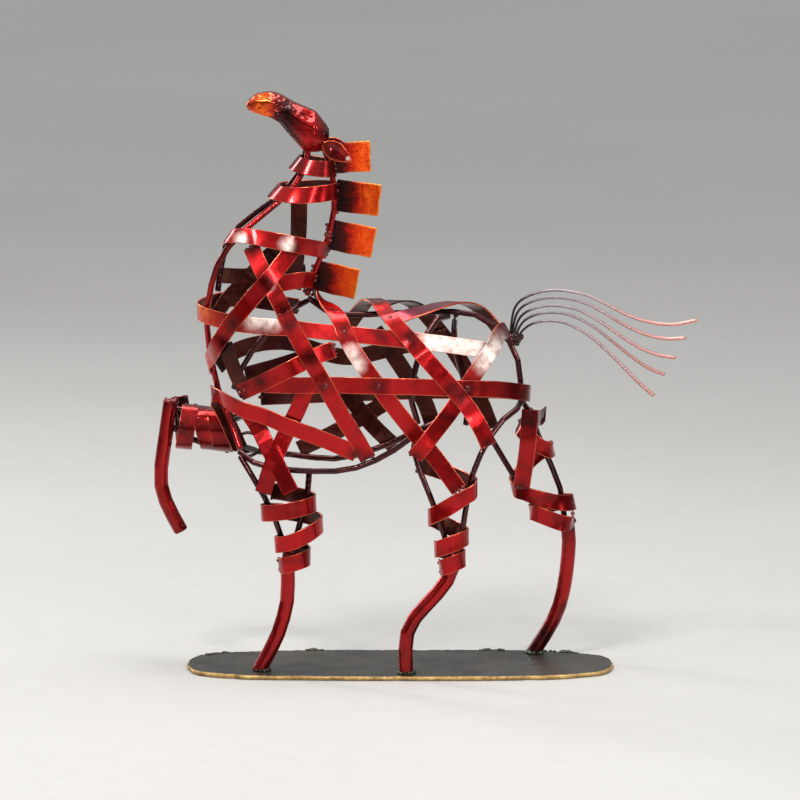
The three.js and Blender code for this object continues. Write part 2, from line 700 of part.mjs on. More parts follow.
// A pointed leaf of sheet, bent back from the poll.
function earLeaf() {
  const outline = new THREE.Shape();
  outline.moveTo(0, 0.1 * EAR.width);
  outline.quadraticCurveTo(0.2 * EAR.length, 0.55 * EAR.width, 0.5 * EAR.length, 0.5 * EAR.width);
  outline.quadraticCurveTo(0.8 * EAR.length, 0.35 * EAR.width, EAR.length, 0);
  outline.quadraticCurveTo(0.7 * EAR.length, -0.45 * EAR.width, 0.4 * EAR.length, -0.5 * EAR.width);
  outline.quadraticCurveTo(0.1 * EAR.length, -0.45 * EAR.width, 0, -0.1 * EAR.width);
  return new THREE.ExtrudeGeometry(outline, { depth: PLATE_THICKNESS, bevelEnabled: false, curveSegments: 4 });
}

function addEar(name, side) {
  const leaf = earLeaf();
  const place = new THREE.Matrix4().makeRotationX(Math.PI / 2);
  place.premultiply(new THREE.Matrix4().makeRotationY(THREE.MathUtils.degToRad(EAR.droop)));
  const y = side * EAR.reach + PLATE_THICKNESS / 2;
  place.premultiply(new THREE.Matrix4().makeTranslation(-60, y, 417));
  const solid = toSolid(leaf.applyMatrix4(place));
  const cut = laidSolids.reduce((left, laid) => left.subtract(laid.grown), solid);
  const body = largestBody(cut);
  laidSolids.push({ solid: body, grown: body });
  addNode(name, body, 'headSheet');
}

// Torch-cut edge of a mane plate: straight sides that waver a little.
function platePoints(length, height, seed) {
  const corners = [[0, 0], [length, 0], [length, -height], [0, -height]];
  const perSide = 4;
  const points = [];
  corners.forEach(([x, z], corner) => {
    const [nextX, nextZ] = corners[(corner + 1) % corners.length];
    for (let step = 0; step < perSide; step += 1) {
      const share = step / perSide;
      const waver = step === 0 ? 0 : 0.35 * Math.sin(seed + 5 * corner + 2.4 * step);
      const sideways = corner % 2 === 0 ? 0 : 1;
      points.push(new THREE.Vector2(
        THREE.MathUtils.lerp(x, nextX, share) + waver * sideways,
        THREE.MathUtils.lerp(z, nextZ, share) + waver * (1 - sideways),
      ));
    }
  });
  return points.reverse();
}

function addManePlate(plate, index) {
  const crest = profileAt(CREST, plate.z);
  const outline = new THREE.Shape(platePoints(plate.length, plate.height, index));
  const geometry = new THREE.ExtrudeGeometry(outline, { depth: PLATE_THICKNESS, bevelEnabled: false });
  geometry.translate(0, 0, -PLATE_THICKNESS / 2);
  geometry.rotateX(Math.PI / 2);
  geometry.rotateY(THREE.MathUtils.degToRad(-plate.tilt));
  geometry.rotateZ(THREE.MathUtils.degToRad(plate.turn));
  geometry.translate(crest.middle + ROD_DIAMETER / 2 + GAP, 0, plate.z + plate.height / 2);
  const solid = toSolid(geometry);
  const cut = laidSolids.reduce((left, laid) => left.subtract(laid.grown), solid);
  const body = largestBody(cut);
  const name = `mane_plate_${index + 1}`;
  laidSolids.push({ solid: body, grown: body });
  addNode(name, body, 'mottledPlate');
}

function taperedWire(points, startDiameter, endDiameter, sides, steps) {
  const path = new THREE.CatmullRomCurve3(points, false, 'centripetal');
  const frames = path.computeFrenetFrames(steps, false);
  const rings = path.getSpacedPoints(steps).map((centre, step) => {
    const radius = THREE.MathUtils.lerp(startDiameter, endDiameter, step / steps) / 2;
    const ring = [];
    for (let side = 0; side < sides; side += 1) {
      const angle = (side * 2 * Math.PI) / sides;
      ring.push(centre.clone()
        .addScaledVector(frames.normals[step], radius * Math.cos(angle))
        .addScaledVector(frames.binormals[step], radius * Math.sin(angle)));
    }
    return ring;
  });
  return loft(rings);
}

function tailWirePoints(wire) {
  const fan = (wire % 2 === 0 ? -1 : 1) * (1 + wire);
  const tipX = TAIL.tipX - TAIL_TIP_STEP.back * wire;
  const tipZ = TAIL.tipZ - TAIL_TIP_STEP.down * wire;
  const peakZ = TAIL.peakZ - TAIL.peakStep * wire;
  const wayZ = peakZ - 13 - 3.5 * wire;
  return [
    at(TAIL.rootX + 1.4 * wire, 0, TAIL.rootZ),
    at(TAIL.rootX - 2 + 2.2 * wire, 0.1 * fan, TAIL.rootZ + 11 - wire),
    at(TAIL.rootX + 9 + 3 * wire, 0.3 * fan, peakZ - 6),
    at(TAIL.rootX + 38, 0.6 * fan, peakZ),
    at(TAIL.rootX + 82, fan, wayZ),
    at((TAIL.rootX + 82 + tipX) / 2, 1.2 * fan, (wayZ + tipZ) / 2 - 5 + 2 * wire),
    at(tipX, 1.5 * fan, tipZ),
  ];
}

// The lump of weld that holds the five wires.
function tailRootWeld() {
  const lump = new THREE.SphereGeometry(TAIL.weldRadius, 10, 6);
  lump.scale(1, 0.8, 0.75);
  lump.translate(TAIL.rootX + 2.5, 0, TAIL.rootZ - 1);
  return toSolid(lump);
}

function addTail() {
  let tail = tailRootWeld();
  for (let wire = 0; wire < TAIL.wires; wire += 1) {
    tail = tail.add(taperedWire(tailWirePoints(wire), WIRE_DIAMETER.root, WIRE_DIAMETER.tip, 6, 18));
  }
  const cut = laidSolids.reduce((left, laid) => left.subtract(laid.grown), tail);
  const body = largestBody(cut);
  laidSolids.push({ solid: body, grown: body });
  addNode('tail_wires', body, 'tailWire');
}

addBasePlate();
addCannons();
addHead();
addFrameRods();
addLegRods();
addLegWindings();
addBrisketCurl();
addFarStraps();
addNearStraps();
addNeckRings();
addEar('near_ear', -1);
addEar('far_ear', 1);
MANE.forEach(addManePlate);
addTail();

export default horse;
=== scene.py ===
import json
import math

import bmesh
import bpy
import numpy as np
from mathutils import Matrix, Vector, noise


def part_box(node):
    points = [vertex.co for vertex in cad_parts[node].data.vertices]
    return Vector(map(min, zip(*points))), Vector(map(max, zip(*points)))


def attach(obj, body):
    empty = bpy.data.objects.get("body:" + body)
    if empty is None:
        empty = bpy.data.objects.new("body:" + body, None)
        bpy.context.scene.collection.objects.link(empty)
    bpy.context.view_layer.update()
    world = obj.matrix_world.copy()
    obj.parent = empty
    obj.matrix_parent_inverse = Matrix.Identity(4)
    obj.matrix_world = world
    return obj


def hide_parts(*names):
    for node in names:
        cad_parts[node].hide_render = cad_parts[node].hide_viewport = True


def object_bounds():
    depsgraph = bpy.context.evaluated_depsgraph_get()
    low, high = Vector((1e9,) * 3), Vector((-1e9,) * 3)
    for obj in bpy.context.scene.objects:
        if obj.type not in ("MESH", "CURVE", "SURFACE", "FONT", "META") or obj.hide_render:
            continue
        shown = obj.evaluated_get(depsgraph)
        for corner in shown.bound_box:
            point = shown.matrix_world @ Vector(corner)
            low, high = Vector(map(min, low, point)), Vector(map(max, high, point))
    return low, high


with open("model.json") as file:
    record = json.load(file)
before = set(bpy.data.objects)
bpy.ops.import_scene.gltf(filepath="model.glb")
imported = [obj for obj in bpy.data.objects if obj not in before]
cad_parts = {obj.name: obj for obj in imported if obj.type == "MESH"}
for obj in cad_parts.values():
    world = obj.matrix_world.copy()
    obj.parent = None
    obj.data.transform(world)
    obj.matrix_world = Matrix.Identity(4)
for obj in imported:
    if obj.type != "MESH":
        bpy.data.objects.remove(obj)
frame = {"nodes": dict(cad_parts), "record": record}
NODES = frame["nodes"]
CAD_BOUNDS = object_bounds()
SLOTS = {entry["node"]: entry["material_slot"] for entry in frame["record"]["subparts"]}

PIECES = []

# Sizes in metres.
MM = 0.001
STEP_ALONG_STRAP = 1.6 * MM
EDGE_RADIUS = 0.42 * MM
EDGE_FLAT = 0.35 * MM
END_TRIM = 0.3 * MM
END_DRAW = 0.03 * MM
HAMMERING = 0.05 * MM
EDGE_WANDER = 0.16 * MM
CROSSING_REACH = 4.5 * MM
SCORCH_REACH = 8 * MM
GLOW_REACH = 16 * MM
RUMP_START, RUMP_REACH, RUMP_LOWEST = 68 * MM, 22 * MM, 190 * MM
ROD_VOXEL = 0.55 * MM
CANNON_VOXEL = 0.7 * MM
SHEET_VOXEL = 0.42 * MM
HEAD_VOXEL = 0.5 * MM
EAR_VOXEL = 0.4 * MM
TRUNK_MIDDLE = 225 * MM
RIDGE_HALF_DEPTH = 8 * MM
WIRE_COUNT = 5
WIRE_RADIUS = (0.9 * MM, 1.5 * MM)
WIRE_FAN = 1.5
TAIL_ROOT = Vector((90.5, 0, 261.5)) * MM
RUMP_DARKENING = 0.75
STANDING_CANNONS = ("near_front_cannon", "near_hind_cannon", "far_hind_cannon")
COAT_IOR = 1.42
RANGE_INPUTS = ("From Min", "From Max", "To Min", "To Max")

# ==== Materials ====

# Near-white colour of the painted glare patches, a painted highlight.
GLARE_WHITE = (0.95, 0.80, 0.72)
RED = (0.41, 0.005, 0.006)
DEEP_RED = (0.20, 0.003, 0.003)
NEAR_BLACK = (0.012, 0.002, 0.002)
BROWN = (0.085, 0.014, 0.008)
DEEP_BROWN = (0.026, 0.005, 0.004)
ORANGE = (0.80, 0.14, 0.02)
PURPLE_REFLECTION = (0.13, 0.008, 0.020)
MAROON = (0.050, 0.003, 0.004)
RUST = (0.16, 0.075, 0.025)
GREEN_FILM = (0.045, 0.060, 0.030)
FOOT_BURN = (0.018, 0.030, 0.010)


class Shader:
    """A node material with short calls for the nodes that the finishes are made of."""

    def __init__(self, name):
        self.material = bpy.data.materials.new(name)
        self.material.use_nodes = True
        self.tree = self.material.node_tree
        self.principled = self.tree.nodes["Principled BSDF"]
        self.coordinates = self.tree.nodes.new("ShaderNodeTexCoord")

    def node(self, kind, **values):
        """A new node, with plain values for the inputs that are named."""
        node = self.tree.nodes.new(kind)
        for name, value in values.items():
            node.inputs[name].default_value = value
        return node

    def link(self, output, socket):
        self.tree.links.new(output, socket)

    def place(self, space="Object"):
        return self.coordinates.outputs[space]

    def noise(self, scale, detail=3.0, roughness=0.55, distortion=0.0, stretch=None):
        texture = self.node("ShaderNodeTexNoise", Scale=scale, Detail=detail, Roughness=roughness,
                            Distortion=distortion)
        source = self.place()
        if stretch:
            mapping = self.node("ShaderNodeMapping", Scale=stretch)
            self.link(source, mapping.inputs["Vector"])
            source = mapping.outputs["Vector"]
        self.link(source, texture.inputs["Vector"])
        return texture.outputs["Fac"]

    def stored(self, name):
        """A value that the mesh itself keeps at each of its points."""
        attribute = self.node("ShaderNodeAttribute")
        attribute.attribute_name = name
        return attribute.outputs["Fac"]

    def ramp(self, factor, stops):
        ramp = self.node("ShaderNodeValToRGB")
        elements = ramp.color_ramp.elements
        while len(elements) < len(stops):
            elements.new(0.5)
        for element, (position, colour) in zip(elements, stops):
            element.position = position
            element.color = (*colour, 1.0)
        self.link(factor, ramp.inputs["Fac"])
        return ramp.outputs["Color"]

    def span(self, value, low, high, to_low=0.0, to_high=1.0):
        """A value brought from the range low to high into another range."""
        span = self.node("ShaderNodeMapRange")
        for name, limit in zip(RANGE_INPUTS, (low, high, to_low, to_high)):
            span.inputs[name].default_value = limit
        self.link(value, span.inputs["Value"])
        return span.outputs["Result"]

    def sum(self, first, second, operation="ADD"):
        total = self.node("ShaderNodeMath")
        total.operation = operation
        for socket, value in zip(total.inputs, (first, second)):
            if isinstance(value, (int, float)):
                socket.default_value = value
            else:
                self.link(value, socket)
        return total.outputs["Value"]

    def times(self, first, second):
        return self.sum(first, second, "MULTIPLY")

    def ragged(self, name, scale, detail, thin=0.6):
        """A stored value whose border is torn by noise."""
        torn = self.span(self.noise(scale, detail), 0.3, 0.7, thin, 1.3)
        return self.times(self.stored(name), torn)

    def speckle(self, colour, noise, limits, strength, tint=NEAR_BLACK):
        """The colour with spots of another one where the noise runs between the limits."""
        return self.mix(self.times(self.span(noise, *limits), strength), colour, tint)

    def mix(self, factor, first, second):
        mix = self.node("ShaderNodeMix")
        mix.data_type = "RGBA"
        for socket, value in zip((mix.inputs[0], mix.inputs[6], mix.inputs[7]), (factor, first, second)):
            if isinstance(value, (int, float)):
                socket.default_value = value
            elif isinstance(value, tuple):
                socket.default_value = (*value, 1.0)
            else:
                self.link(value, socket)
        return mix.outputs[2]

    def axis(self, letter, space="Object"):
        split = self.node("ShaderNodeSeparateXYZ")
        self.link(self.place(space), split.inputs["Vector"])
        return split.outputs[letter]

    def bump(self, height, distance, below=None):
        bump = self.node("ShaderNodeBump", Strength=1.0, Distance=distance)
        self.link(height, bump.inputs["Height"])
        if below:
            self.link(below, bump.inputs["Normal"])
        return bump.outputs["Normal"]

    def finish(self, colour, roughness, normal, metallic, coat, coat_roughness=0.04):
        inputs = self.principled.inputs
        self.link(colour, inputs["Base Color"])
        self.link(roughness, inputs["Roughness"])
        self.link(normal, inputs["Normal"])
        inputs["Metallic"].default_value = metallic
        inputs["Coat Weight"].default_value = coat
        inputs["Coat Roughness"].default_value = coat_roughness
        inputs["Coat IOR"].default_value = COAT_IOR
        return self.material


def lacquer(name, bright, deep, metallic=0.85, gloss=0.20, coat=0.22):
    """Clear tinted lacquer over steel: cloudy depth, faint hammer marks, scorch and painted shade, and
    near-white patches of painted glare.
    """
    shader = Shader(name)
    clouds = shader.noise(17.0, 2.0, 0.5, 0.5)
    colour = shader.ramp(clouds, [(0.30, deep), (0.46, bright), (0.60, bright), (0.74, deep)])
    colour = shader.speckle(colour, shader.noise(26.0, 3.0, 0.5, 0.6), (0.56, 0.74), 0.75)
    glow = shader.times(shader.stored("glow"), shader.span(shader.noise(150.0, 4.0), 0.3, 0.6))
    colour = shader.mix(glow, colour, ORANGE)
    # Scorch near welds, and painted shade over whole straps, both darken towards near-black.
    scorch_and_shade = shader.ragged("scorch_and_shade", 150.0, 4.0)
    colour = shader.mix(shader.span(scorch_and_shade, 0.12, 1.0, 0.0, 0.9), colour, NEAR_BLACK)
    colour = shader.speckle(colour, shader.noise(520.0, 3.0), (0.64, 0.74), 0.30)
    # Painted highlight: near-white glare where the stored glare value is set, a little rougher there.
    glare = shader.ragged("painted_glare", 210.0, 5.0)
    colour = shader.mix(shader.span(glare, 0.10, 0.95, 0.0, 0.95), colour, GLARE_WHITE)
    roughness = shader.span(shader.noise(130.0, 2.0), 0.3, 0.7, gloss - 0.05, gloss + 0.08)
    roughness = shader.sum(roughness, shader.times(glare, 0.32))
    hammered = shader.bump(shader.noise(70.0, 1.0), 0.22 * MM)
    grain = shader.bump(shader.noise(700.0, 3.0), 0.014 * MM, hammered)
    return shader.finish(colour, roughness, grain, metallic, coat)


def make_muzzle_to_poll():
    """The head: orange muzzle, near-black bridge, red cheek, with a painted orange-red highlight along the
    top of the ridge and a scorched jaw.
    """
    shader = Shader("head_lacquer")
    low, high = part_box("head")
    drift = shader.times(shader.noise(150.0, 5.0, 0.65, 0.8), 16 * MM)
    along = shader.sum(shader.axis("X"), drift)
    share = shader.span(along, low.x + 8 * MM, high.x + 8 * MM)
    colour = shader.ramp(share, [
        (0.00, (0.30, 0.014, 0.004)), (0.06, (0.62, 0.050, 0.005)), (0.20, (0.78, 0.110, 0.006)),
        (0.28, (0.46, 0.020, 0.004)), (0.34, (0.14, 0.005, 0.003)), (0.50, (0.014, 0.002, 0.002)),
        (0.62, (0.18, 0.003, 0.003)), (0.74, (0.42, 0.004, 0.004)), (0.88, (0.26, 0.003, 0.003)),
        (1.00, (0.020, 0.002, 0.002)),
    ])
    muzzle = shader.span(share, 0.34, 0.24)
    flame = shader.span(shader.noise(330.0, 5.0, 0.7, 0.6), 0.50, 0.66)
    colour = shader.mix(shader.times(flame, muzzle), colour, (0.86, 0.150, 0.008))
    # Painted highlight: orange-red along the top of the ridge, where make_head stores it.
    colour = shader.mix(shader.stored("glow"), colour, (0.80, 0.10, 0.03))
    scorch_and_shade = shader.ragged("scorch_and_shade", 420.0, 4.0, 0.5)
    colour = shader.mix(shader.span(scorch_and_shade, 0.15, 0.9, 0.0, 0.95), colour, NEAR_BLACK)
    colour = shader.speckle(colour, shader.noise(560.0, 4.0, 0.7), (0.58, 0.68), 0.55)
    roughness = shader.span(shader.noise(300.0, 3.0), 0.3, 0.7, 0.10, 0.20)
    dents = shader.bump(shader.noise(120.0, 1.0), 0.14 * MM)
    grain = shader.bump(shader.noise(700.0, 3.0), 0.012 * MM, dents)
    return shader.finish(colour, roughness, grain, 0.85, 0.32)


def make_mane():
    """Mane plates: dark at the neck, mottled orange towards the free edge."""
    shader = Shader("mottled_mane_plate")
    drift = shader.times(shader.noise(95.0, 5.0, 0.65, 0.8), 0.45)
    share = shader.sum(shader.sum(shader.axis("X", "Generated"), drift), 0.225, "SUBTRACT")
    colour = shader.ramp(share, [
        (0.12, (0.012, 0.002, 0.002)), (0.34, (0.06, 0.004, 0.003)), (0.46, (0.34, 0.009, 0.003)),
        (0.62, (0.60, 0.034, 0.003)), (0.78, (0.74, 0.075, 0.004)), (0.95, (0.60, 0.036, 0.003)),
    ])
    flame = shader.span(shader.noise(260.0, 5.0, 0.7, 0.5, (1.0, 1.0, 0.35)), 0.52, 0.72)
    bright = shader.span(share, 0.45, 0.70)
    colour = shader.mix(shader.times(flame, bright), colour, (0.92, 0.175, 0.008))
    colour = shader.mix(shader.stored("glow"), colour, (0.92, 0.30, 0.05))
    colour = shader.speckle(colour, shader.noise(700.0, 4.0, 0.7), (0.56, 0.66), 0.35)
    roughness = shader.span(shader.noise(520.0, 3.0), 0.3, 0.7, 0.20, 0.50)
    pitted = shader.bump(shader.noise(520.0, 4.0, 0.7), 0.30 * MM)
    return shader.finish(colour, roughness, pitted, 0.9, 0.12)


def make_tail():
    """Tail wires: black at the root, then grey steel, rose at the tips."""
    shader = Shader("heat_tinted_wire")
    low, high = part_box("tail_wires")
    drift = shader.times(shader.noise(60.0, 3.0), 30 * MM)
    share = shader.span(shader.sum(shader.axis("X"), drift), low.x + 15 * MM, high.x)
    colour = shader.ramp(share, [
        (0.00, (0.018, 0.008, 0.008)), (0.10, (0.030, 0.016, 0.016)), (0.24, (0.24, 0.20, 0.21)),
        (0.48, (0.42, 0.31, 0.32)), (0.72, (0.52, 0.27, 0.25)), (1.00, (0.60, 0.27, 0.23)),
    ])
    roughness = shader.span(shader.noise(380.0, 3.0), 0.3, 0.7, 0.26, 0.46)
    drawn = shader.bump(shader.noise(700.0, 3.0, 0.6, 0.0, (0.3, 1.0, 1.0)), 0.06 * MM)
    return shader.finish(colour, roughness, drawn, 0.75, 0.35)


def make_base_top():
    """Base plate: dark scaled steel under lacquer, with faint greenish and rusty clouds."""
    shader = Shader("scaled_base_steel")
    clouds = shader.noise(22.0, 6.0, 0.65, 0.7)
    colour = shader.ramp(clouds, [
        (0.28, (0.022, 0.020, 0.017)), (0.50, (0.050, 0.044, 0.036)), (0.72, (0.085, 0.070, 0.048)),
    ])
    colour = shader.speckle(colour, shader.noise(75.0, 6.0, 0.7), (0.60, 0.72), 0.35, RUST)
    colour = shader.speckle(colour, shader.noise(40.0, 5.0, 0.6), (0.58, 0.70), 0.4, GREEN_FILM)
    colour = shader.mix(shader.times(shader.stored("glow"), 0.85), colour, FOOT_BURN)
    roughness = shader.span(shader.noise(160.0, 4.0), 0.3, 0.7, 0.24, 0.46)
    scale = shader.bump(shader.noise(120.0, 5.0, 0.65), 0.5 * MM)
    grain = shader.bump(shader.noise(1100.0, 3.0), 0.06 * MM, scale)
    return shader.finish(colour, roughness, grain, 0.35, 0.18, 0.12)


def make_base_rim():
    """Torch-cut rim: ochre, partly the cut's own scale and partly a painted reflection of warm light, with
    the drag lines of the cut running down it.
    """
    shader = Shader("torch_cut_rim")
    clouds = shader.noise(90.0, 5.0, 0.65, 0.4)
    colour = shader.ramp(clouds, [
        (0.30, (0.16, 0.085, 0.025)), (0.52, (0.46, 0.28, 0.085)), (0.74, (0.66, 0.46, 0.18)),
    ])
    burnt = shader.span(shader.noise(210.0, 4.0, 0.7), 0.60, 0.70)
    colour = shader.mix(burnt, colour, (0.04, 0.028, 0.018))
    roughness = shader.span(shader.noise(400.0, 3.0), 0.3, 0.7, 0.42, 0.66)
    drag = shader.bump(shader.noise(520.0, 3.0, 0.6, 0.3, (1.0, 1.0, 0.12)), 0.5 * MM)
    return shader.finish(colour, roughness, drag, 0.45, 0.15, 0.2)


RED_LACQUER = lacquer("candy_red_lacquer", RED, DEEP_RED)
# Painted shade: the inner face of a strap, dark brown-maroon where it faces into the body.
SHADED_STRAP_BACK = lacquer("shaded_strap_back", BROWN, MAROON, metallic=0.7, gloss=0.3, coat=0.15)
EAR_LACQUER = lacquer("ear_lacquer", (0.34, 0.005, 0.004), (0.07, 0.002, 0.002), gloss=0.12, coat=0.5)
# Painted reflection: red lacquer with the purple look of the overhead light on top of the back.
OVERHEAD_REFLECTION_LACQUER = lacquer("purple_reflection_lacquer", PURPLE_REFLECTION, RED)
# Painted highlight: light orange on the edges of the red straps, where they catch the light.
EDGE_HIGHLIGHT_LACQUER = lacquer("edge_highlight_lacquer", (0.78, 0.150, 0.070), (0.50, 0.040, 0.020), gloss=0.22)
BROWN_LACQUER = lacquer("brown_lacquer", BROWN, DEEP_BROWN, gloss=0.24, coat=0.2)
ROD_LACQUER = lacquer("black_rod_lacquer", (0.060, 0.004, 0.004), (0.012, 0.002, 0.002),
                      gloss=0.12, coat=0.6)
CANNON_LACQUER = lacquer("cannon_red_lacquer", (0.34, 0.005, 0.006), (0.15, 0.003, 0.003), coat=0.28)
WELD_LACQUER = lacquer("weld_lacquer", (0.16, 0.006, 0.006), (0.030, 0.004, 0.004),
                       metallic=0.8, gloss=0.12, coat=0.8)
FOOT_WELD = lacquer("scorched_foot_weld", (0.030, 0.030, 0.014), (0.016, 0.012, 0.006),
                    metallic=0.8, gloss=0.16, coat=0.6)
HEAD_LACQUER = make_muzzle_to_poll()
MANE_STEEL = make_mane()
TAIL_STEEL = make_tail()
BASE_STEEL = make_base_top()
RIM_STEEL = make_base_rim()

# ==== Shared helpers ====


def new_piece(name, mesh, materials, *nodes, slot=None):
    """Links a mesh as a piece of the statue. It stands for the CAD nodes that are named."""
    piece = bpy.data.objects.new(name, mesh)
    bpy.context.scene.collection.objects.link(piece)
    kinds = np.zeros(len(mesh.polygons), dtype=np.int32)
    mesh.polygons.foreach_get("material_index", kinds)
    mesh.materials.clear()
    for material in materials:
        mesh.materials.append(material)
    mesh.polygons.foreach_set("material_index", np.minimum(kinds, len(materials) - 1))
    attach(piece, "root")
    if nodes:
        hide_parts(*nodes)
    slot or SLOTS[nodes[0]]
    PIECES.append(piece)
    return piece


def store(mesh, name, values):
    """Keeps a value between 0 and 1 at each point of a mesh, for its material to read."""
    attribute = mesh.attributes.get(name) or mesh.attributes.new(name, "FLOAT", "POINT")
    attribute.data.foreach_set("value", np.clip(values, 0.0, 1.0).astype(np.float32))


def places_of(mesh):
    places = np.zeros(len(mesh.vertices) * 3)
    mesh.vertices.foreach_get("co", places)
    return places.reshape(-1, 3)


def normals_of(mesh):
    normals = np.zeros(len(mesh.vertices) * 3)
    mesh.vertices.foreach_get("normal", normals)
    return normals.reshape(-1, 3)


def move_to(mesh, places):
    mesh.vertices.foreach_set("co", places.ravel())
    mesh.update()


def nearness(places, points, radius):
    """1 at any of the points, fading to 0 over the radius."""
    share = np.zeros(len(places))
    for point in points:
        distance = np.linalg.norm(places - np.array(point), axis=1)
        share = np.maximum(share, np.exp(-(distance / radius) ** 2))
    return share


def mesh_from(name, vertices, faces, face_materials=None):
    mesh = bpy.data.meshes.new(name)
    mesh.from_pydata([tuple(vertex) for vertex in vertices], [], faces)
    mesh.polygons.foreach_set("use_smooth", [True] * len(mesh.polygons))
    if face_materials:
        mesh.polygons.foreach_set("material_index", face_materials)
    mesh.validate()
    mesh.update()
    return mesh


def wobble(point, scale, seed=0.0):
    """Smooth noise between about -1 and 1 at a point, in features of the given size."""
    return noise.noise(Vector(point) / scale + Vector((seed, seed * 0.7, -seed)))


def welded_mesh(node):
    """A copy of a CAD node's mesh with its corners joined."""
    mesh = NODES[node].data.copy()
    work = bmesh.new()
    work.from_mesh(mesh)
    bmesh.ops.remove_doubles(work, verts=work.verts, dist=0.01 * MM)
    work.to_mesh(mesh)
    work.free()
    return mesh


def smooth_copy(node, material, voxel, passes, swell):
    """A CAD node remade as one fine skin with soft edges, such as a rod or a cut sheet."""
    piece = new_piece(node + "_skin", welded_mesh(node), [material], node)
    remesh = piece.modifiers.new("skin", "REMESH")
    remesh.mode = "VOXEL"
    remesh.voxel_size = voxel
    smooth = piece.modifiers.new("soften", "SMOOTH")
    smooth.factor = 0.5
    smooth.iterations = passes
    bake(piece)
    mesh = piece.data
    mesh.polygons.foreach_set("use_smooth", [True] * len(mesh.polygons))
    move_to(mesh, places_of(mesh) + normals_of(mesh) * swell)
    return piece


def bake(piece):
    """Turns a piece's modifiers into its mesh."""
    graph = bpy.context.evaluated_depsgraph_get()
    mesh = bpy.data.meshes.new_from_object(piece.evaluated_get(graph))
    piece.modifiers.clear()
    piece.data = mesh


# ==== Straps ====


def strap_sections(node):
    """The cross-sections of a strap's solid from one end to the other, four corners each."""
    work = bmesh.new()
    work.from_mesh(NODES[node].data)
    bmesh.ops.remove_doubles(work, verts=work.verts, dist=0.01 * MM)
    work.verts.index_update()
    places = [vertex.co.copy() for vertex in work.verts]
    linked = [{edge.other_vert(vertex).index for edge in vertex.link_edges} for vertex in work.verts]
    quads = [{vertex.index for face in edge.link_faces for vertex in face.verts} for edge in work.edges]
    work.free()
    for start in quads:
        if len(start) != 4:
            continue
        layers = [start]
        seen = set(start)
        while layers[-1]:
            layers.append(set().union(*(linked[index] for index in layers[-1])) - seen)
            seen |= layers[-1]
        layers.pop()
        if all(len(layer) == 4 for layer in layers) and len(seen) == len(places):
            return [[places[index] for index in sorted(layer)] for layer in layers]
    return None


def section_frame(corners):
    """Middle, half width and half thickness of a strap's cross-section."""
    first = corners[0]
    partner = min(corners[1:], key=lambda corner: (corner - first).length)
    others = [corner for corner in corners[1:] if corner is not partner]
    others.sort(key=lambda corner: (corner - first).length)
    middle = sum(corners, Vector()) / 4
    across = ((first + partner) - (others[0] + others[1])) / 4
    through = ((first + others[0]) - (partner + others[1])) / 4
    return middle, across, through


def outward_from_core(middle, core):
    """Direction away from what the strap wraps round."""
    if core is None:
        if abs(middle.y) > RIDGE_HALF_DEPTH:
            return Vector((0, middle.y, middle.z - TRUNK_MIDDLE))
        return Vector((0, 0, 1))
    start, end = core
    along = end - start
    share = max(0.0, min(1.0, (middle - start).dot(along) / along.length_squared))
    return middle - (start + along * share)


def strap_frames(node, core):
    """Even frames along a strap: middle, half width and half thickness facing outward."""
    rough = [section_frame(corners) for corners in strap_sections(node)]
    frames = [rough[0]]
    for middle, across, through in rough[1:]:
        across = across if across.dot(frames[-1][1]) > 0 else -across
        through = through if through.dot(frames[-1][2]) > 0 else -through
        frames.append((middle, across, through))
    facing = sum(through.normalized().dot(outward_from_core(middle, core).normalized())
                 for middle, across, through in frames)
    if facing < 0:
        frames = [(middle, across, -through) for middle, across, through in frames]
    return frames


def catmull_rom(before, start, end, after, share):
    """A smooth curve between the two middle ones of four places in a row."""
    return 0.5 * ((2 * start) + (end - before) * share
                  + (2 * before - 5 * start + 4 * end - after) * share ** 2
                  + (3 * start - before - 3 * end + after) * share ** 3)


def resample(frames, step):
    """Frames at even short steps on a smooth curve through the strap's own sections."""
    fine = []
    last = len(frames) - 1
    for index in range(last):
        four = [frames[max(index - 1, 0)], frames[index], frames[index + 1], frames[min(index + 2, last)]]
        length = (four[2][0] - four[1][0]).length
        count = max(2, round(length / step))
        for part in range(count):
            share = part / count
            fine.append(tuple(catmull_rom(*(item[kind] for item in four), share) for kind in range(3)))
    fine.append(frames[-1])
    return fine


def strap_outline(half_width, half_thickness, radius):
    """Rounded cross-section of a strap, as (across, through) with the outer face first."""
    inner_width = half_width - radius
    support = inner_width - EDGE_FLAT
    flat = [-inner_width, -support, -support * 0.5, 0.0, support * 0.5, support, inner_width]
    top = [(place, half_thickness) for place in flat]
    arc = [math.radians(angle) for angle in (60, 30, 0, -30, -60)]
    inner_thickness = half_thickness - radius
    right = [(inner_width + radius * math.cos(a),
              math.copysign(inner_thickness, a) * (a != 0) + radius * math.sin(a)) for a in arc]
    return top + right + [(-x, -y) for x, y in top] + [(-x, -y) for x, y in right], len(top)


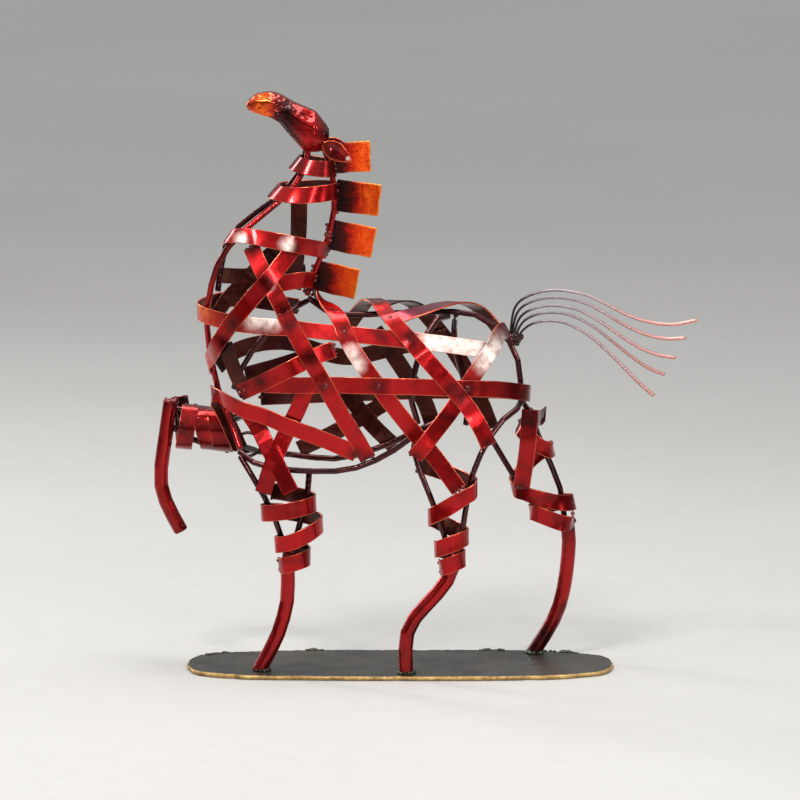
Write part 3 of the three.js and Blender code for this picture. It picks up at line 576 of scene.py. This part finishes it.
def strap_mesh(name, frames, seed):
    """A strap with rounded edges, hammer marks and slightly wandering edges."""
    fine = resample(frames, STEP_ALONG_STRAP)
    fine = [draw_in(fine, 0)] + fine[1:-1] + [draw_in(fine, -1)]
    vertices = []
    count = 0
    for row, (middle, across, through) in enumerate(fine):
        outline, face_points = strap_outline(across.length, through.length, EDGE_RADIUS)
        count = len(outline)
        trim = END_TRIM if row in (0, len(fine) - 1) else 0.0
        side = across.normalized()
        up = through.normalized()
        for x, y in outline:
            place = middle + side * x + up * y
            rise = HAMMERING * wobble(place, 9 * MM, seed)
            drift = EDGE_WANDER * wobble(middle, 14 * MM, seed + (5 if x > 0 else 9))
            x_pulled = x * (1 - trim / across.length) + math.copysign(drift, x) * abs(x) / across.length
            vertices.append(middle + side * x_pulled + up * (y * (1 - trim / through.length) + rise))
    faces = []
    sides = []
    for row in range(len(fine) - 1):
        for point in range(count):
            following = (point + 1) % count
            corner = row * count
            faces.append((corner + point, corner + following, corner + count + following,
                          corner + count + point))
            is_front = point < face_points - 1
            is_back = face_points + 5 <= point < 2 * face_points + 4
            sides.append(0 if is_front else 1 if is_back else 2)
    faces.append(tuple(range(count))[::-1])
    faces.append(tuple(range((len(fine) - 1) * count, len(fine) * count)))
    sides += [0, 0]
    mesh = mesh_from(name, vertices, faces, sides)
    work = bmesh.new()
    work.from_mesh(mesh)
    bmesh.ops.recalc_face_normals(work, faces=work.faces)
    work.to_mesh(mesh)
    work.free()
    return mesh


def draw_in(frames, end):
    """The end frame of a strap, drawn in a little so that its bevelled end shows."""
    middle, across, through = frames[end]
    inward = frames[1][0] - middle if end == 0 else frames[-2][0] - middle
    return middle + inward.normalized() * END_DRAW, across, through


WINDINGS = [name for name in NODES if name.endswith("winding") or name.endswith("knee_band")]
RINGS = [name for name in NODES if name.endswith("ring")]


def core_of(node):
    """The line that a winding or ring goes round, or None for a strap on the trunk."""
    if node in WINDINGS:
        sections = strap_sections(node)
        return sum(sections[0], Vector()) / 4, sum(sections[-1], Vector()) / 4
    if node in RINGS or node == "brisket_curl":
        low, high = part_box(node)
        middle = (low + high) / 2
        return middle - Vector((0, 0, 1)), middle + Vector((0, 0, 1))
    return None


def crossing_of(first, second):
    """Where two straps lie across each other: place, outward direction and half thickness, or None."""
    gaps = np.linalg.norm(CENTRES[first][:, None] - CENTRES[second][None], axis=2)
    row, column = np.unravel_index(np.argmin(gaps), gaps.shape)
    if gaps[row, column] > CROSSING_REACH:
        return None
    upper, lower = FINE[first][row], FINE[second][column]
    if (upper[0] - lower[0]).dot(upper[2]) < 0:
        upper = lower
    return upper[0] + upper[2], upper[2].normalized()


STRAPS = [node for node in sorted(NODES) if strap_sections(node)]
FRAMES = {node: strap_frames(node, core_of(node)) for node in STRAPS}
FINE = {node: resample(FRAMES[node], STEP_ALONG_STRAP) for node in STRAPS}
CENTRES = {node: np.array([tuple(item[0]) for item in FINE[node]]) for node in STRAPS}
CROSSINGS = []
for number, node in enumerate(STRAPS):
    for other in STRAPS[number + 1:]:
        crossing = crossing_of(node, other)
        if crossing:
            CROSSINGS.append(crossing)
STRAP_ENDS = [(FINE[node][end], node) for node in STRAPS for end in (0, -1)]
HEATED = [place for place, outward in CROSSINGS] + [end[0] for end, node in STRAP_ENDS]
# Painted highlight: near-white glare patches where a strap catches the lamps, as (x, z, radius) on the near
# side of a strap.
PAINTED_GLARE_PATCHES = {
    "upper_band": [(-0.114, 0.283, 0.009), (-0.107, 0.2825, 0.010), (-0.100, 0.282, 0.009),
                   (0.026, 0.264, 0.012), (0.036, 0.263, 0.013), (0.046, 0.262, 0.013),
                   (0.057, 0.260, 0.012)],
    "rump_to_flank_strap": [(0.076, 0.260, 0.010), (0.071, 0.253, 0.011), (0.066, 0.247, 0.008)],
    "lower_neck_ring": [(-0.124, 0.343, 0.005), (-0.088, 0.340, 0.006)],
    "withers_to_thigh_strap": [(-0.038, 0.256, 0.007), (-0.034, 0.247, 0.007)],
}
# Rods that are red rather than dark, and straps whose inner face is red rather than in painted shade.
RED_RODS = ("near_throat_rod", "crest_rod")
RED_BOTH_SIDES = ("far_thigh_strap", "far_hock_strap", "far_hindleg_winding")
# How dark each foot is made towards the ground, and how much painted shade darkens some straps all over.
FOOT_DARKENING = {"near_front_cannon": 0.3, "near_hind_cannon": 0.3, "far_hind_cannon": 1.5}
PAINTED_SHADE_STRAPS = {
    "raised_foreleg_winding": 0.50, "raised_knee_band": 0.50, "far_hindleg_winding": 0.35,
    "far_hock_strap": 0.35, "brisket_curl": 0.35, "throat_ring": 0.60, "middle_neck_ring": 0.22,
    "near_hindleg_winding": 0.12, "far_thigh_strap": 0.55,
}
# Places on the chest where the lacquer has turned orange.
GLOWING = [Vector((-0.158, -0.004, 0.284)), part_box("brisket_strap")[0], Vector((-0.150, -0.01, 0.290))]


def painted_glare_share(places, patches):
    """How strongly the painted glare shows at each place, by the patches on the near side."""
    flat = places[:, [0, 2]]
    share = np.zeros(len(places))
    for x, z, radius in patches:
        share = np.maximum(share, np.exp(-(np.linalg.norm(flat - (x, z), axis=1) / radius) ** 2))
    return share * (places[:, 1] < 0)


def front_of(node):
    """The lacquer on the outer face of a strap."""
    # Painted reflection: the back strap, on top of the body, takes the purple reflection of the overhead
    # light.
    if node == "back_strap":
        return OVERHEAD_REFLECTION_LACQUER
    brown = SLOTS[node] == "brown_lacquer" and node != "far_thigh_strap"
    return BROWN_LACQUER if brown else RED_LACQUER


def make_strap(node, seed):
    """One strap: its ribbon, where it is scorched, darker towards the rump, darkened by painted shade,
    glowing orange and lit by painted glare, and its three lacquers.
    """
    mesh = strap_mesh(node + "_strap", FRAMES[node], seed)
    places = places_of(mesh)
    # Darker towards the rump, above the belly.
    rump = RUMP_DARKENING * np.clip((places[:, 0] - RUMP_START) / RUMP_REACH, 0, 1)
    rump *= places[:, 2] > RUMP_LOWEST
    # Painted shade: the listed straps are darkened all over; weld scorch on them is added more weakly.
    welded = (0.5 if node in PAINTED_SHADE_STRAPS else 0.9) * nearness(places, HEATED, SCORCH_REACH)
    store(mesh, "scorch_and_shade", np.maximum(PAINTED_SHADE_STRAPS.get(node, 0.0) + welded, rump))
    store(mesh, "glow", nearness(places, GLOWING, GLOW_REACH))
    if node in PAINTED_GLARE_PATCHES:
        store(mesh, "painted_glare", painted_glare_share(places, PAINTED_GLARE_PATCHES[node]))
    # Inner face in painted shade, except on the listed far straps.
    back = RED_LACQUER if node in RED_BOTH_SIDES else SHADED_STRAP_BACK
    # Edges of the red straps carry a painted highlight.
    edge = EDGE_HIGHLIGHT_LACQUER if SLOTS[node] == "red_lacquer" else front_of(node)
    new_piece(node + "_band", mesh, [front_of(node), back, edge], node)


for number, node in enumerate(STRAPS):
    make_strap(node, number * 3.7)

# ==== Rods, cannons, crossed straps, tail and plates ====


def scorch_near(piece, points, radius, strength=1.0):
    store(piece.data, "scorch_and_shade", strength * nearness(places_of(piece.data), points, radius))


# Course of the highest and the lowest tail wire from root to tip: (x, z) in millimetres.
HIGH_WIRE = [(86, 262), (90, 286), (102, 296), (121, 300), (143, 297),
             (160, 290), (177, 281), (195, 275), (214, 273), (233, 276.5)]
LOW_WIRE = [(91, 260), (97, 269), (106, 274.5), (119, 276), (132, 273.5),
            (149, 264), (165, 250), (179, 236), (189, 226), (199, 217.5)]


def wire_place(wire, share):
    """A place on the middle line of a tail wire, with share 0 at the root and 1 at the tip."""
    course = [Vector((high[0], 0, high[1])).lerp(Vector((low[0], 0, low[1])), wire / (WIRE_COUNT - 1))
              for high, low in zip(HIGH_WIRE, LOW_WIRE)]
    spans = len(course) - 1
    course = [course[0] * 2 - course[1]] + course + [course[-1] * 2 - course[-2]]
    step = min(int(share * spans), spans - 1)
    place = catmull_rom(*course[step:step + 4], share * spans - step)
    place.y = (-1 if wire % 2 == 0 else 1) * (1 + wire) * WIRE_FAN * share
    return place * MM


def make_tail_wires():
    """Five springy wires that fan out from the weld at the tail root."""
    rings, sides = 72, 10
    vertices = []
    faces = []
    for wire in range(WIRE_COUNT):
        first = len(vertices)
        for ring in range(rings + 1):
            share = ring / rings
            middle = wire_place(wire, share)
            ahead = wire_place(wire, min(1.0, share + 0.01))
            along = (ahead - wire_place(wire, max(0.0, share - 0.01))).normalized()
            across = along.cross(Vector((0, 1, 0))).normalized()
            upright = along.cross(across)
            radius = WIRE_RADIUS[0] + (WIRE_RADIUS[1] - WIRE_RADIUS[0]) * share
            radius *= 1 + 0.10 * wobble(middle, 3 * MM, wire)
            for side in range(sides):
                angle = side * math.tau / sides
                vertices.append(middle + (across * math.cos(angle) + upright * math.sin(angle)) * radius)
        for ring in range(rings):
            for side in range(sides):
                row = first + ring * sides
                following = (side + 1) % sides
                faces.append((row + side, row + following, row + sides + following, row + sides + side))
        faces.append(tuple(first + side for side in range(sides))[::-1])
        faces.append(tuple(first + rings * sides + side for side in range(sides)))
    mesh = mesh_from("tail_wires", vertices, faces)
    mesh.polygons.foreach_set("use_smooth", [len(polygon.vertices) == 4 for polygon in mesh.polygons])
    new_piece("tail_wires_skin", mesh, [TAIL_STEEL], "tail_wires")


def make_cannon(node):
    """A lower leg: thick round bar, scorched at the top weld and darker towards the foot."""
    cannon = smooth_copy(node, CANNON_LACQUER, CANNON_VOXEL, passes=14, swell=0.45 * MM)
    low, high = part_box(node)
    places = places_of(cannon.data)
    foot = np.clip((low.z + 34 * MM - places[:, 2]) / (26 * MM), 0, 1) * FOOT_DARKENING.get(node, 0.0)
    top = np.clip((places[:, 2] - high.z + 12 * MM) / (12 * MM), 0, 1)
    store(cannon.data, "scorch_and_shade", np.maximum(foot, top * 0.7))


for node in sorted(NODES):
    if node.endswith("_rod") or node.endswith("_rods"):
        rod_lacquer = CANNON_LACQUER if node in RED_RODS else ROD_LACQUER
        smooth_copy(node, rod_lacquer, ROD_VOXEL, passes=5, swell=0.30 * MM)
    elif node.endswith("cannon"):
        make_cannon(node)
    elif node.endswith("_cross"):
        cross = smooth_copy(node, front_of(node), SHEET_VOXEL, passes=5, swell=0.04 * MM)
        scorch_near(cross, HEATED, SCORCH_REACH)
make_tail_wires()

# ==== Head, ears and mane plates ====


MELT_GRAIN = 1.6 * MM
# Lumps and pits round each eye and nostril: (x, y on the far side, z, radius, height).
EYE_LUMPS = [
    (-0.0720, 0.0110, 0.4395, 3.4 * MM, -1.5 * MM), (-0.0765, 0.0118, 0.4420, 1.4 * MM, 1.9 * MM),
    (-0.0735, 0.0122, 0.4375, 1.3 * MM, 2.0 * MM), (-0.0690, 0.0116, 0.4400, 1.1 * MM, 1.5 * MM),
    (-0.0800, 0.0116, 0.4385, 0.9 * MM, 1.1 * MM), (-0.1010, 0.0060, 0.4480, 2.4 * MM, 0.9 * MM),
]
JAW_STEPS = 9


def melt(piece, ripple, lumps):
    """Moves a skin along its normals by noise and by lumps and pits, each (place, radius, height)."""
    places = places_of(piece.data)
    waves = [wobble(place, 4.2 * MM, 2.0) + 0.5 * wobble(place, MELT_GRAIN, 7.0) for place in places]
    rise = np.array(waves) * ripple
    for place, radius, height in lumps:
        on_skin = places[np.argmin(np.linalg.norm(places - np.array(place), axis=1))]
        distance = np.linalg.norm(places - on_skin, axis=1)
        rise += height * np.exp(-(distance / radius) ** 2)
    move_to(piece.data, places + normals_of(piece.data) * rise[:, None])


def jaw_line():
    """Places down the near side of the jaw, from the chin to the throat."""
    shares = [step / (JAW_STEPS - 1) for step in range(JAW_STEPS)]
    return [Vector((-0.0960 + 0.0190 * share, -0.0080, 0.4400 - 0.0225 * share)) for share in shares]


def head_lumps():
    """Melted beads of the jaw, and on both sides the eye, the mouth line and the cheek bone."""
    for place in jaw_line():
        size = (1.0 + 0.7 * abs(wobble(place, 3 * MM, 4.0))) * MM
        yield place + Vector((0, 0, 1.2 * MM * wobble(place, 2 * MM, 9.0))), size, 0.9 * MM
    for side in (-1, 1):
        yield from (((x, side * y, z), radius, height) for x, y, z, radius, height in EYE_LUMPS)
        for step in range(6):
            place = Vector((-0.114 + 0.0042 * step, side * 0.0070, 0.4462 - 0.0007 * step))
            yield place, 1.5 * MM, -0.7 * MM if step % 2 else -0.2 * MM
        for step in range(5):
            place = Vector((-0.0950 + 0.0030 * step, side * 0.0085, 0.4455 - 0.0012 * step))
            yield place, 1.0 * MM, 0.6 * MM


def make_head():
    head = smooth_copy("head", HEAD_LACQUER, HEAD_VOXEL, passes=45, swell=0.75 * MM)
    melt(head, 0.15 * MM, head_lumps())
    places = places_of(head.data)
    eyes = [Vector((-0.0725, side * 0.0115, 0.4390)) for side in (-1, 1)]
    mouth = [Vector((-0.112 + 0.004 * step, side * 0.0070, 0.4458))
             for step in range(4) for side in (-1, 1)]
    scorch_and_shade = np.maximum(nearness(places, jaw_line(), 3.6 * MM), 0.85 * nearness(places, eyes, 3.2 * MM))
    store(head.data, "scorch_and_shade", np.maximum(scorch_and_shade, 0.8 * nearness(places, mouth, 1.5 * MM)))
    # Painted highlight: orange-red along the top of the ridge, on faces that point upwards.
    upward = np.clip(normals_of(head.data)[:, 2], 0, 1)
    ridge_highlight = np.exp(-(places[:, 1] / (3.2 * MM)) ** 2) * np.clip(upward * 1.6, 0, 1)
    store(head.data, "glow", 0.75 * ridge_highlight)


def rim_of(piece, width):
    """1 at the cut edges of a flat upright plate, fading to 0 within the width."""
    places = places_of(piece.data)
    edge = places[np.abs(normals_of(piece.data)[:, 1]) < 0.6]
    share = np.zeros(len(places))
    block = 2000
    for start in range(0, len(places), block):
        gaps = np.linalg.norm(places[start:start + block, None] - edge[None], axis=2).min(axis=1)
        share[start:start + block] = np.exp(-(gaps / width) ** 2)
    return share


def make_ear(node):
    """A folded leaf of sheet: orange rim, scorched root and a painted highlight at the tip."""
    ear = smooth_copy(node, EAR_LACQUER, EAR_VOXEL, passes=6, swell=0.05 * MM)
    low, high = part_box(node)
    places = places_of(ear.data)
    middle = (low + high) / 2
    root = Vector((high.x - 13 * MM, middle.y, middle.z + 2 * MM))
    tip = Vector((high.x - 3.5 * MM, middle.y, low.z + 3.2 * MM))
    store(ear.data, "glow", 0.9 * rim_of(ear, 0.8 * MM))
    store(ear.data, "scorch_and_shade", 0.8 * nearness(places, [root], 5 * MM))
    # Painted highlight: a small glint at the tip, drawn with the near-white glare.
    store(ear.data, "painted_glare", nearness(places, [tip], 1.7 * MM))
    cup = [((middle.x + step * MM, middle.y - 2 * MM, middle.z - 0.8 * step * MM), 2.4 * MM, -0.35 * MM)
           for step in range(-4, 8, 3)]
    melt(ear, 0.10 * MM, cup)


def make_mane_plate(node):
    plate = smooth_copy(node, MANE_STEEL, SHEET_VOXEL, passes=4, swell=0.02 * MM)
    low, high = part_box(node)
    outer = np.clip((places_of(plate.data)[:, 0] - low.x) / (high.x - low.x) * 1.6 - 0.5, 0, 1)
    store(plate.data, "glow", outer * rim_of(plate, 0.9 * MM))


MANE_PLATES = [node for node in sorted(NODES) if node.startswith("mane_plate")]
make_head()
for node in ("near_ear", "far_ear"):
    make_ear(node)
for node in MANE_PLATES:
    make_mane_plate(node)

# ==== Base plate ====


def base_outline():
    """Corners of the base plate's top, in order round it."""
    corners = {(round(v.co.x, 5), round(v.co.y, 5)) for v in NODES["base_plate"].data.vertices}
    return sorted(corners, key=lambda corner: math.atan2(corner[1] * 2.7, corner[0]))


BASE_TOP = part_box("base_plate")[1].z
RIM_STEP = 1.1 * MM
FRAYED_DEPTH = 12 * MM
NOTCH_SPREAD = 0.006
# Deep nicks of the torch: (share of the way round, depth).
NOTCHES = [(0.07, 0.004), (0.23, 0.003), (0.36, 0.005), (0.58, 0.004), (0.71, 0.006), (0.86, 0.004)]
# Rings of the plate from the underside's edge to its middle: (depth inwards, height).
EDGE_RINGS = [(1.2 * MM, 0.0), (0.2 * MM, 0.6 * MM), (0.0, 1.8 * MM), (0.3 * MM, BASE_TOP - 0.5 * MM)]
TOP_RINGS = [(depth, BASE_TOP) for depth in (1.2 * MM, 5 * MM, 10 * MM, 16 * MM, 24 * MM, 34 * MM, 46 * MM)]


def base_rim():
    """Places at short steps round the base's outline."""
    rim = []
    corners = base_outline()
    for index, corner in enumerate(corners):
        following = corners[(index + 1) % len(corners)]
        count = max(1, round(math.dist(corner, following) / RIM_STEP))
        for part in range(count):
            share = part / count
            rim.append(Vector((corner[0] + (following[0] - corner[0]) * share,
                               corner[1] + (following[1] - corner[1]) * share, 0.0)))
    return rim


def base_point(place, around, depth, height):
    """A place of the rim moved inwards to a ring, nicked by the torch and raised to its height."""
    inward = Vector((-place.x * 0.35, -place.y, 0)).normalized()
    nick = 1.3 * MM * (0.5 + 0.5 * wobble(place, 9 * MM, 1.0))
    nick += 0.5 * MM * abs(wobble(place, 2.4 * MM, 3.0))
    for share, deep in NOTCHES:
        nick += deep * 0.5 * math.exp(-((around - share) / NOTCH_SPREAD) ** 2)
    fade = max(0.0, 1 - depth / FRAYED_DEPTH)
    point = place + inward * (depth + nick * fade)
    lift = 0.0
    if height > 3 * MM:
        lift = 0.35 * MM * wobble(point, 22 * MM, 5.0) - 0.35 * MM
        lift += 0.30 * MM * wobble(point, 4 * MM, 6.0) * fade
    return point.x, point.y, min(height + lift, BASE_TOP) if height > 0 else 0.0


def foot_place(node):
    """Where a standing leg meets the base."""
    places = places_of(NODES[node].data)
    return places[places[:, 2] < places[:, 2].min() + 4 * MM].mean(axis=0)


def make_base():
    """Torch-cut plate: a ragged rim, a scaled top and burnt patches round the feet."""
    rim = base_rim()
    count = len(rim)
    rings = EDGE_RINGS + TOP_RINGS
    vertices = [base_point(place, index / count, depth, height)
                for depth, height in rings for index, place in enumerate(rim)]
    faces = []
    kinds = []
    for row in range(len(rings) - 1):
        for index in range(count):
            following = (index + 1) % count
            faces.append((row * count + index, row * count + following,
                          (row + 1) * count + following, (row + 1) * count + index))
            kinds.append(1 if row < len(EDGE_RINGS) else 0)
    top_row = (len(rings) - 1) * count
    faces.append(tuple(top_row + index for index in range(count)))
    faces.append(tuple(range(count))[::-1])
    kinds += [0, 0]
    mesh = mesh_from("torch_cut_base", vertices, faces, kinds)
    feet = [foot_place(node) for node in STANDING_CANNONS]
    store(mesh, "glow", nearness(places_of(mesh), feet, 15 * MM))
    new_piece("torch_cut_base", mesh, [BASE_STEEL, RIM_STEEL], "base_plate")


make_base()

# ==== Welds ====


def blob(work, place, radii, turn_to, seed):
    """Adds one lump of weld metal to a mesh that is being built."""
    made = bmesh.ops.create_icosphere(work, subdivisions=2, radius=1.0)
    turn = Vector(turn_to).to_track_quat("Z", "Y").to_matrix()
    for vertex in made["verts"]:
        rough = 1 + 0.16 * wobble(vertex.co, 0.8, seed)
        vertex.co = Vector(place) + turn @ Vector([a * b * rough for a, b in zip(vertex.co, radii)])


def weld_piece(name, lumps, material, slot):
    """One piece of weld metal out of many lumps, each (place, radii, outward direction)."""
    work = bmesh.new()
    for number, (place, radii, outward) in enumerate(lumps):
        blob(work, place, radii, outward, number * 1.9)
    mesh = bpy.data.meshes.new(name)
    work.to_mesh(mesh)
    work.free()
    mesh.polygons.foreach_set("use_smooth", [True] * len(mesh.polygons))
    return new_piece(name, mesh, [material], slot=slot)


def chance(place, seed):
    """A fixed number between 0 and 1 for a place, the same at every run."""
    return 0.5 + 0.5 * math.sin(91.7 * place[0] / MM + 37.3 * place[1] / MM + 61.1 * place[2] / MM + seed)


def spot_welds():
    """Flat spots where straps cross."""
    for place, outward in CROSSINGS:
        if chance(place, 0.0) < 0.45:
            continue
        size = (1.2 + 0.9 * chance(place, 2.0)) * MM
        yield place, (size, size * 1.2, 0.55 * MM), outward


def end_welds():
    """Up to three beads across each end of a red strap."""
    for (end, across, through), node in STRAP_ENDS:
        if SLOTS[node] != "red_lacquer":
            continue
        up = through.normalized()
        side = across.normalized()
        for step in (-1, 0, 1):
            if chance(end, step * 3.0) < 0.35:
                continue
            size = (0.9 + 0.9 * chance(end, step)) * MM
            place = end + side * step * across.length * 0.55 + up * through.length * 0.3
            yield place, (size * 1.3, size, size * 0.9), up


def directions_round(count, start=0.0):
    """Level directions at even angles round an upright axis."""
    angles = [start + step * math.tau / count for step in range(count)]
    return [Vector((math.cos(angle), math.sin(angle), 0.0)) for angle in angles]


def cannon_welds():
    """A collar of beads where each lower leg meets the rods."""
    for node in (*STANDING_CANNONS, "raised_cannon"):
        places = places_of(NODES[node].data)
        top = places[places[:, 2] > places[:, 2].max() - 6 * MM].mean(axis=0)
        for out in directions_round(6, 0.4):
            size = (1.3 + 1.1 * chance(out, top[0])) * MM
            rise = -0.5 if node == "raised_cannon" else 2 + 3 * chance(out, 5.0)
            place = Vector(top) + out * 4.0 * MM + Vector((0, 0, rise * MM))
            yield place, (size, size * 1.2, size * 1.4), out


def foot_welds():
    """A ring of beads where each standing leg meets the base."""
    for node in STANDING_CANNONS:
        foot = foot_place(node)
        for out in directions_round(11):
            size = (1.5 + 1.2 * chance(out, foot[0] / MM)) * MM
            place = Vector((foot[0], foot[1], 3.9 * MM)) + out * 5.4 * MM
            yield place, (size * 0.9, size * 1.4, size * 1.1), Vector((0, 0, 1))


# Runs of beads along the far edge of the base: (middle, reach) in millimetres.
BEAD_RUNS = ((-145, 8), (-68, 6), (73, 9), (113, 10), (134, 6))


def edge_beads():
    """Beads of melted steel left along the far edge of the base."""
    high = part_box("base_plate")[1]
    for x, reach in BEAD_RUNS:
        for step in range(7):
            place = Vector(((x + (step - 3) * reach / 3) * MM, 0, high.z - 0.3 * MM))
            edge = high.y * (1 - (abs(place.x) / high.x) ** 4.2) ** 0.4
            place.y = edge - (2.6 + 1.4 * chance(place, 1.0)) * MM
            size = (1.0 + 1.4 * chance(place, 4.0)) * MM
            yield place, (size * 1.2, size, size * 0.8), Vector((0, 0, 1))


def cluster(centre, reach, count, seed, size=1.5):
    """A cluster of weld lumps round a place, reaching the given distance along each axis."""
    for step in range(count):
        turn = step * 2.4 + seed
        spread = math.sqrt((step + 0.5) / count)
        offset = Vector((math.cos(turn) * reach[0] * spread, math.sin(turn * 1.7) * reach[1] * spread,
                         math.sin(turn) * reach[2] * spread)) * MM
        place = Vector(centre) * MM + offset
        radius = size * (0.7 + 0.6 * chance(place, seed)) * MM
        yield place, (radius, radius * 1.1, radius * 0.9), offset + Vector((0, -1, 0)) * MM


def seam(start, end, count, seed, size=1.3):
    """A run of weld lumps from one place to another."""
    for step in range(count):
        place = Vector(start).lerp(Vector(end), step / (count - 1)) * MM
        place += Vector((0.8 * MM * wobble(place, 3 * MM, seed), 0, 0))
        radius = size * (0.7 + 0.6 * chance(place, seed)) * MM
        yield place, (radius, radius, radius * 1.2), Vector((0, -1, 0))


def body_welds():
    """Knots of weld at the withers, the tail root and up the crest, and a seam along each mane plate."""
    yield from cluster((-73.5, -3, 303), (3.5, 4, 4.5), 9, 1.0)
    yield from cluster(TAIL_ROOT / MM, (4.6, 3.4, 4.6), 18, 2.0, 2.2)
    yield from cluster((-55, 0, 345), (2.4, 2, 7), 9, 3.0, 1.9)
    yield from cluster((-55, 0, 378), (2.0, 2, 3), 6, 4.0, 1.6)
    yield from cluster((-72, 0, 411), (2.6, 2.6, 2.6), 8, 5.0, 1.6)
    for node in MANE_PLATES:
        low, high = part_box(node)
        upper = (low.x / MM + 0.6, 0, high.z / MM - 4)
        lower = (low.x / MM + 0.2, 0, low.z / MM + 3)
        yield from seam(upper, lower, 7, low.z)


body_metal = weld_piece("body_welds", body_welds(), WELD_LACQUER, "red_lacquer")
scorch_near(body_metal, [TAIL_ROOT], 9 * MM, 1.2)
weld_piece("spot_welds", spot_welds(), WELD_LACQUER, "red_lacquer")
weld_piece("end_welds", end_welds(), WELD_LACQUER, "red_lacquer")
weld_piece("cannon_welds", cannon_welds(), WELD_LACQUER, "red_lacquer")
weld_piece("foot_welds", foot_welds(), FOOT_WELD, "red_lacquer")
weld_piece("edge_beads", edge_beads(), FOOT_WELD, "base_plate")

# Every piece keeps within the outline of the solids.
for piece in PIECES:
    move_to(piece.data, np.clip(places_of(piece.data), np.array(CAD_BOUNDS[0]), np.array(CAD_BOUNDS[1])))

# ==== Stage, lights and camera ====

FLOOR_REACH = 16.0
FLOOR_SIDES = 48
LIT_PLACE = Vector((0.0, 0.0, 0.24))
# Each lamp: name, place, size, power and colour.
LAMPS = [
    ("key_softbox", (-0.7, -1.25, 1.9), (0.5, 0.35), 34.0, (1.0, 0.97, 0.93)),
    ("front_strip", (0.5, -1.9, 0.75), (0.12, 0.9), 7.0, (1.0, 1.0, 1.0)),
    ("fill_softbox", (1.7, -1.2, 0.9), (0.5, 0.5), 9.0, (1.0, 1.0, 1.0)),
    ("top_softbox", (0.1, 0.1, 1.7), (0.8, 0.5), 14.0, (1.0, 1.0, 1.0)),
    ("back_strip", (-1.3, 1.1, 0.9), (0.3, 1.0), 14.0, (1.0, 1.0, 1.0)),
]
CAMERA_ELEVATION = math.radians(8.3)
CAMERA_DISTANCE = 6.0
CAMERA_TARGET = Vector((0.0, 0.0, 0.2130))
VIEW_WIDTH = 0.628
# Upward share of a direction, and the brightness of the surroundings there.
WALLS = (0.10, 0.06)
CEILING = (0.75, 0.95)


def make_floor():
    shader = Shader("pale_floor")
    colour = shader.ramp(shader.noise(1.5, 2.0), [(0.3, (0.44, 0.43, 0.41)), (0.7, (0.47, 0.46, 0.44))])
    roughness = shader.span(shader.noise(40.0, 3.0), 0.3, 0.7, 0.52, 0.60)
    normal = shader.bump(shader.noise(300.0, 2.0), 0.02 * MM)
    return shader.finish(colour, roughness, normal, 0.0, 0.0)


def add_floor():
    """A wide pale floor that fills the view from every side."""
    angles = [step * math.tau / FLOOR_SIDES for step in range(FLOOR_SIDES)]
    vertices = [(FLOOR_REACH * math.cos(angle), FLOOR_REACH * math.sin(angle), 0.0) for angle in angles]
    mesh = mesh_from("pale_floor", vertices, [tuple(range(FLOOR_SIDES))])
    floor = bpy.data.objects.new("pale_floor", mesh)
    floor.location.z = -0.2 * MM
    mesh.materials.append(make_floor())
    bpy.context.scene.collection.objects.link(floor)


def add_surroundings():
    """Studio surroundings: a soft bright ceiling that fades to dark walls."""
    world = bpy.data.worlds.new("studio")
    world.use_nodes = True
    tree = world.node_tree
    background = tree.nodes["Background"]
    background.inputs["Color"].default_value = (0.96, 0.98, 1.0, 1.0)
    direction = tree.nodes.new("ShaderNodeTexCoord")
    split = tree.nodes.new("ShaderNodeSeparateXYZ")
    height = tree.nodes.new("ShaderNodeMapRange")
    for name, limit in zip(RANGE_INPUTS, (WALLS[0], CEILING[0], WALLS[1], CEILING[1])):
        height.inputs[name].default_value = limit
    tree.links.new(direction.outputs["Generated"], split.inputs["Vector"])
    tree.links.new(split.outputs["Z"], height.inputs["Value"])
    tree.links.new(height.outputs["Result"], background.inputs["Strength"])
    bpy.context.scene.world = world


def aimed(name, data, place, target):
    """Links a lamp or camera that stands at a place and looks at the target."""
    holder = bpy.data.objects.new(name, data)
    holder.location = place
    holder.rotation_euler = (target - Vector(place)).to_track_quat("-Z", "Y").to_euler()
    bpy.context.scene.collection.objects.link(holder)
    return holder


def add_lamp(name, place, size, power, colour):
    light = bpy.data.lights.new(name, "AREA")
    light.shape = "RECTANGLE"
    light.size, light.size_y = size
    light.energy = power
    light.color = colour
    aimed(name, light, place, LIT_PLACE)


def add_camera():
    camera = bpy.data.cameras.new("camera")
    camera.sensor_width = 36.0
    camera.lens = camera.sensor_width * CAMERA_DISTANCE / VIEW_WIDTH
    backwards = Vector((0, -math.cos(CAMERA_ELEVATION), math.sin(CAMERA_ELEVATION)))
    place = CAMERA_TARGET + backwards * CAMERA_DISTANCE
    bpy.context.scene.camera = aimed("camera", camera, place, CAMERA_TARGET)


add_floor()
for lamp in LAMPS:
    add_lamp(*lamp)
add_surroundings()
bpy.context.scene.view_settings.view_transform = "Standard"
add_camera()
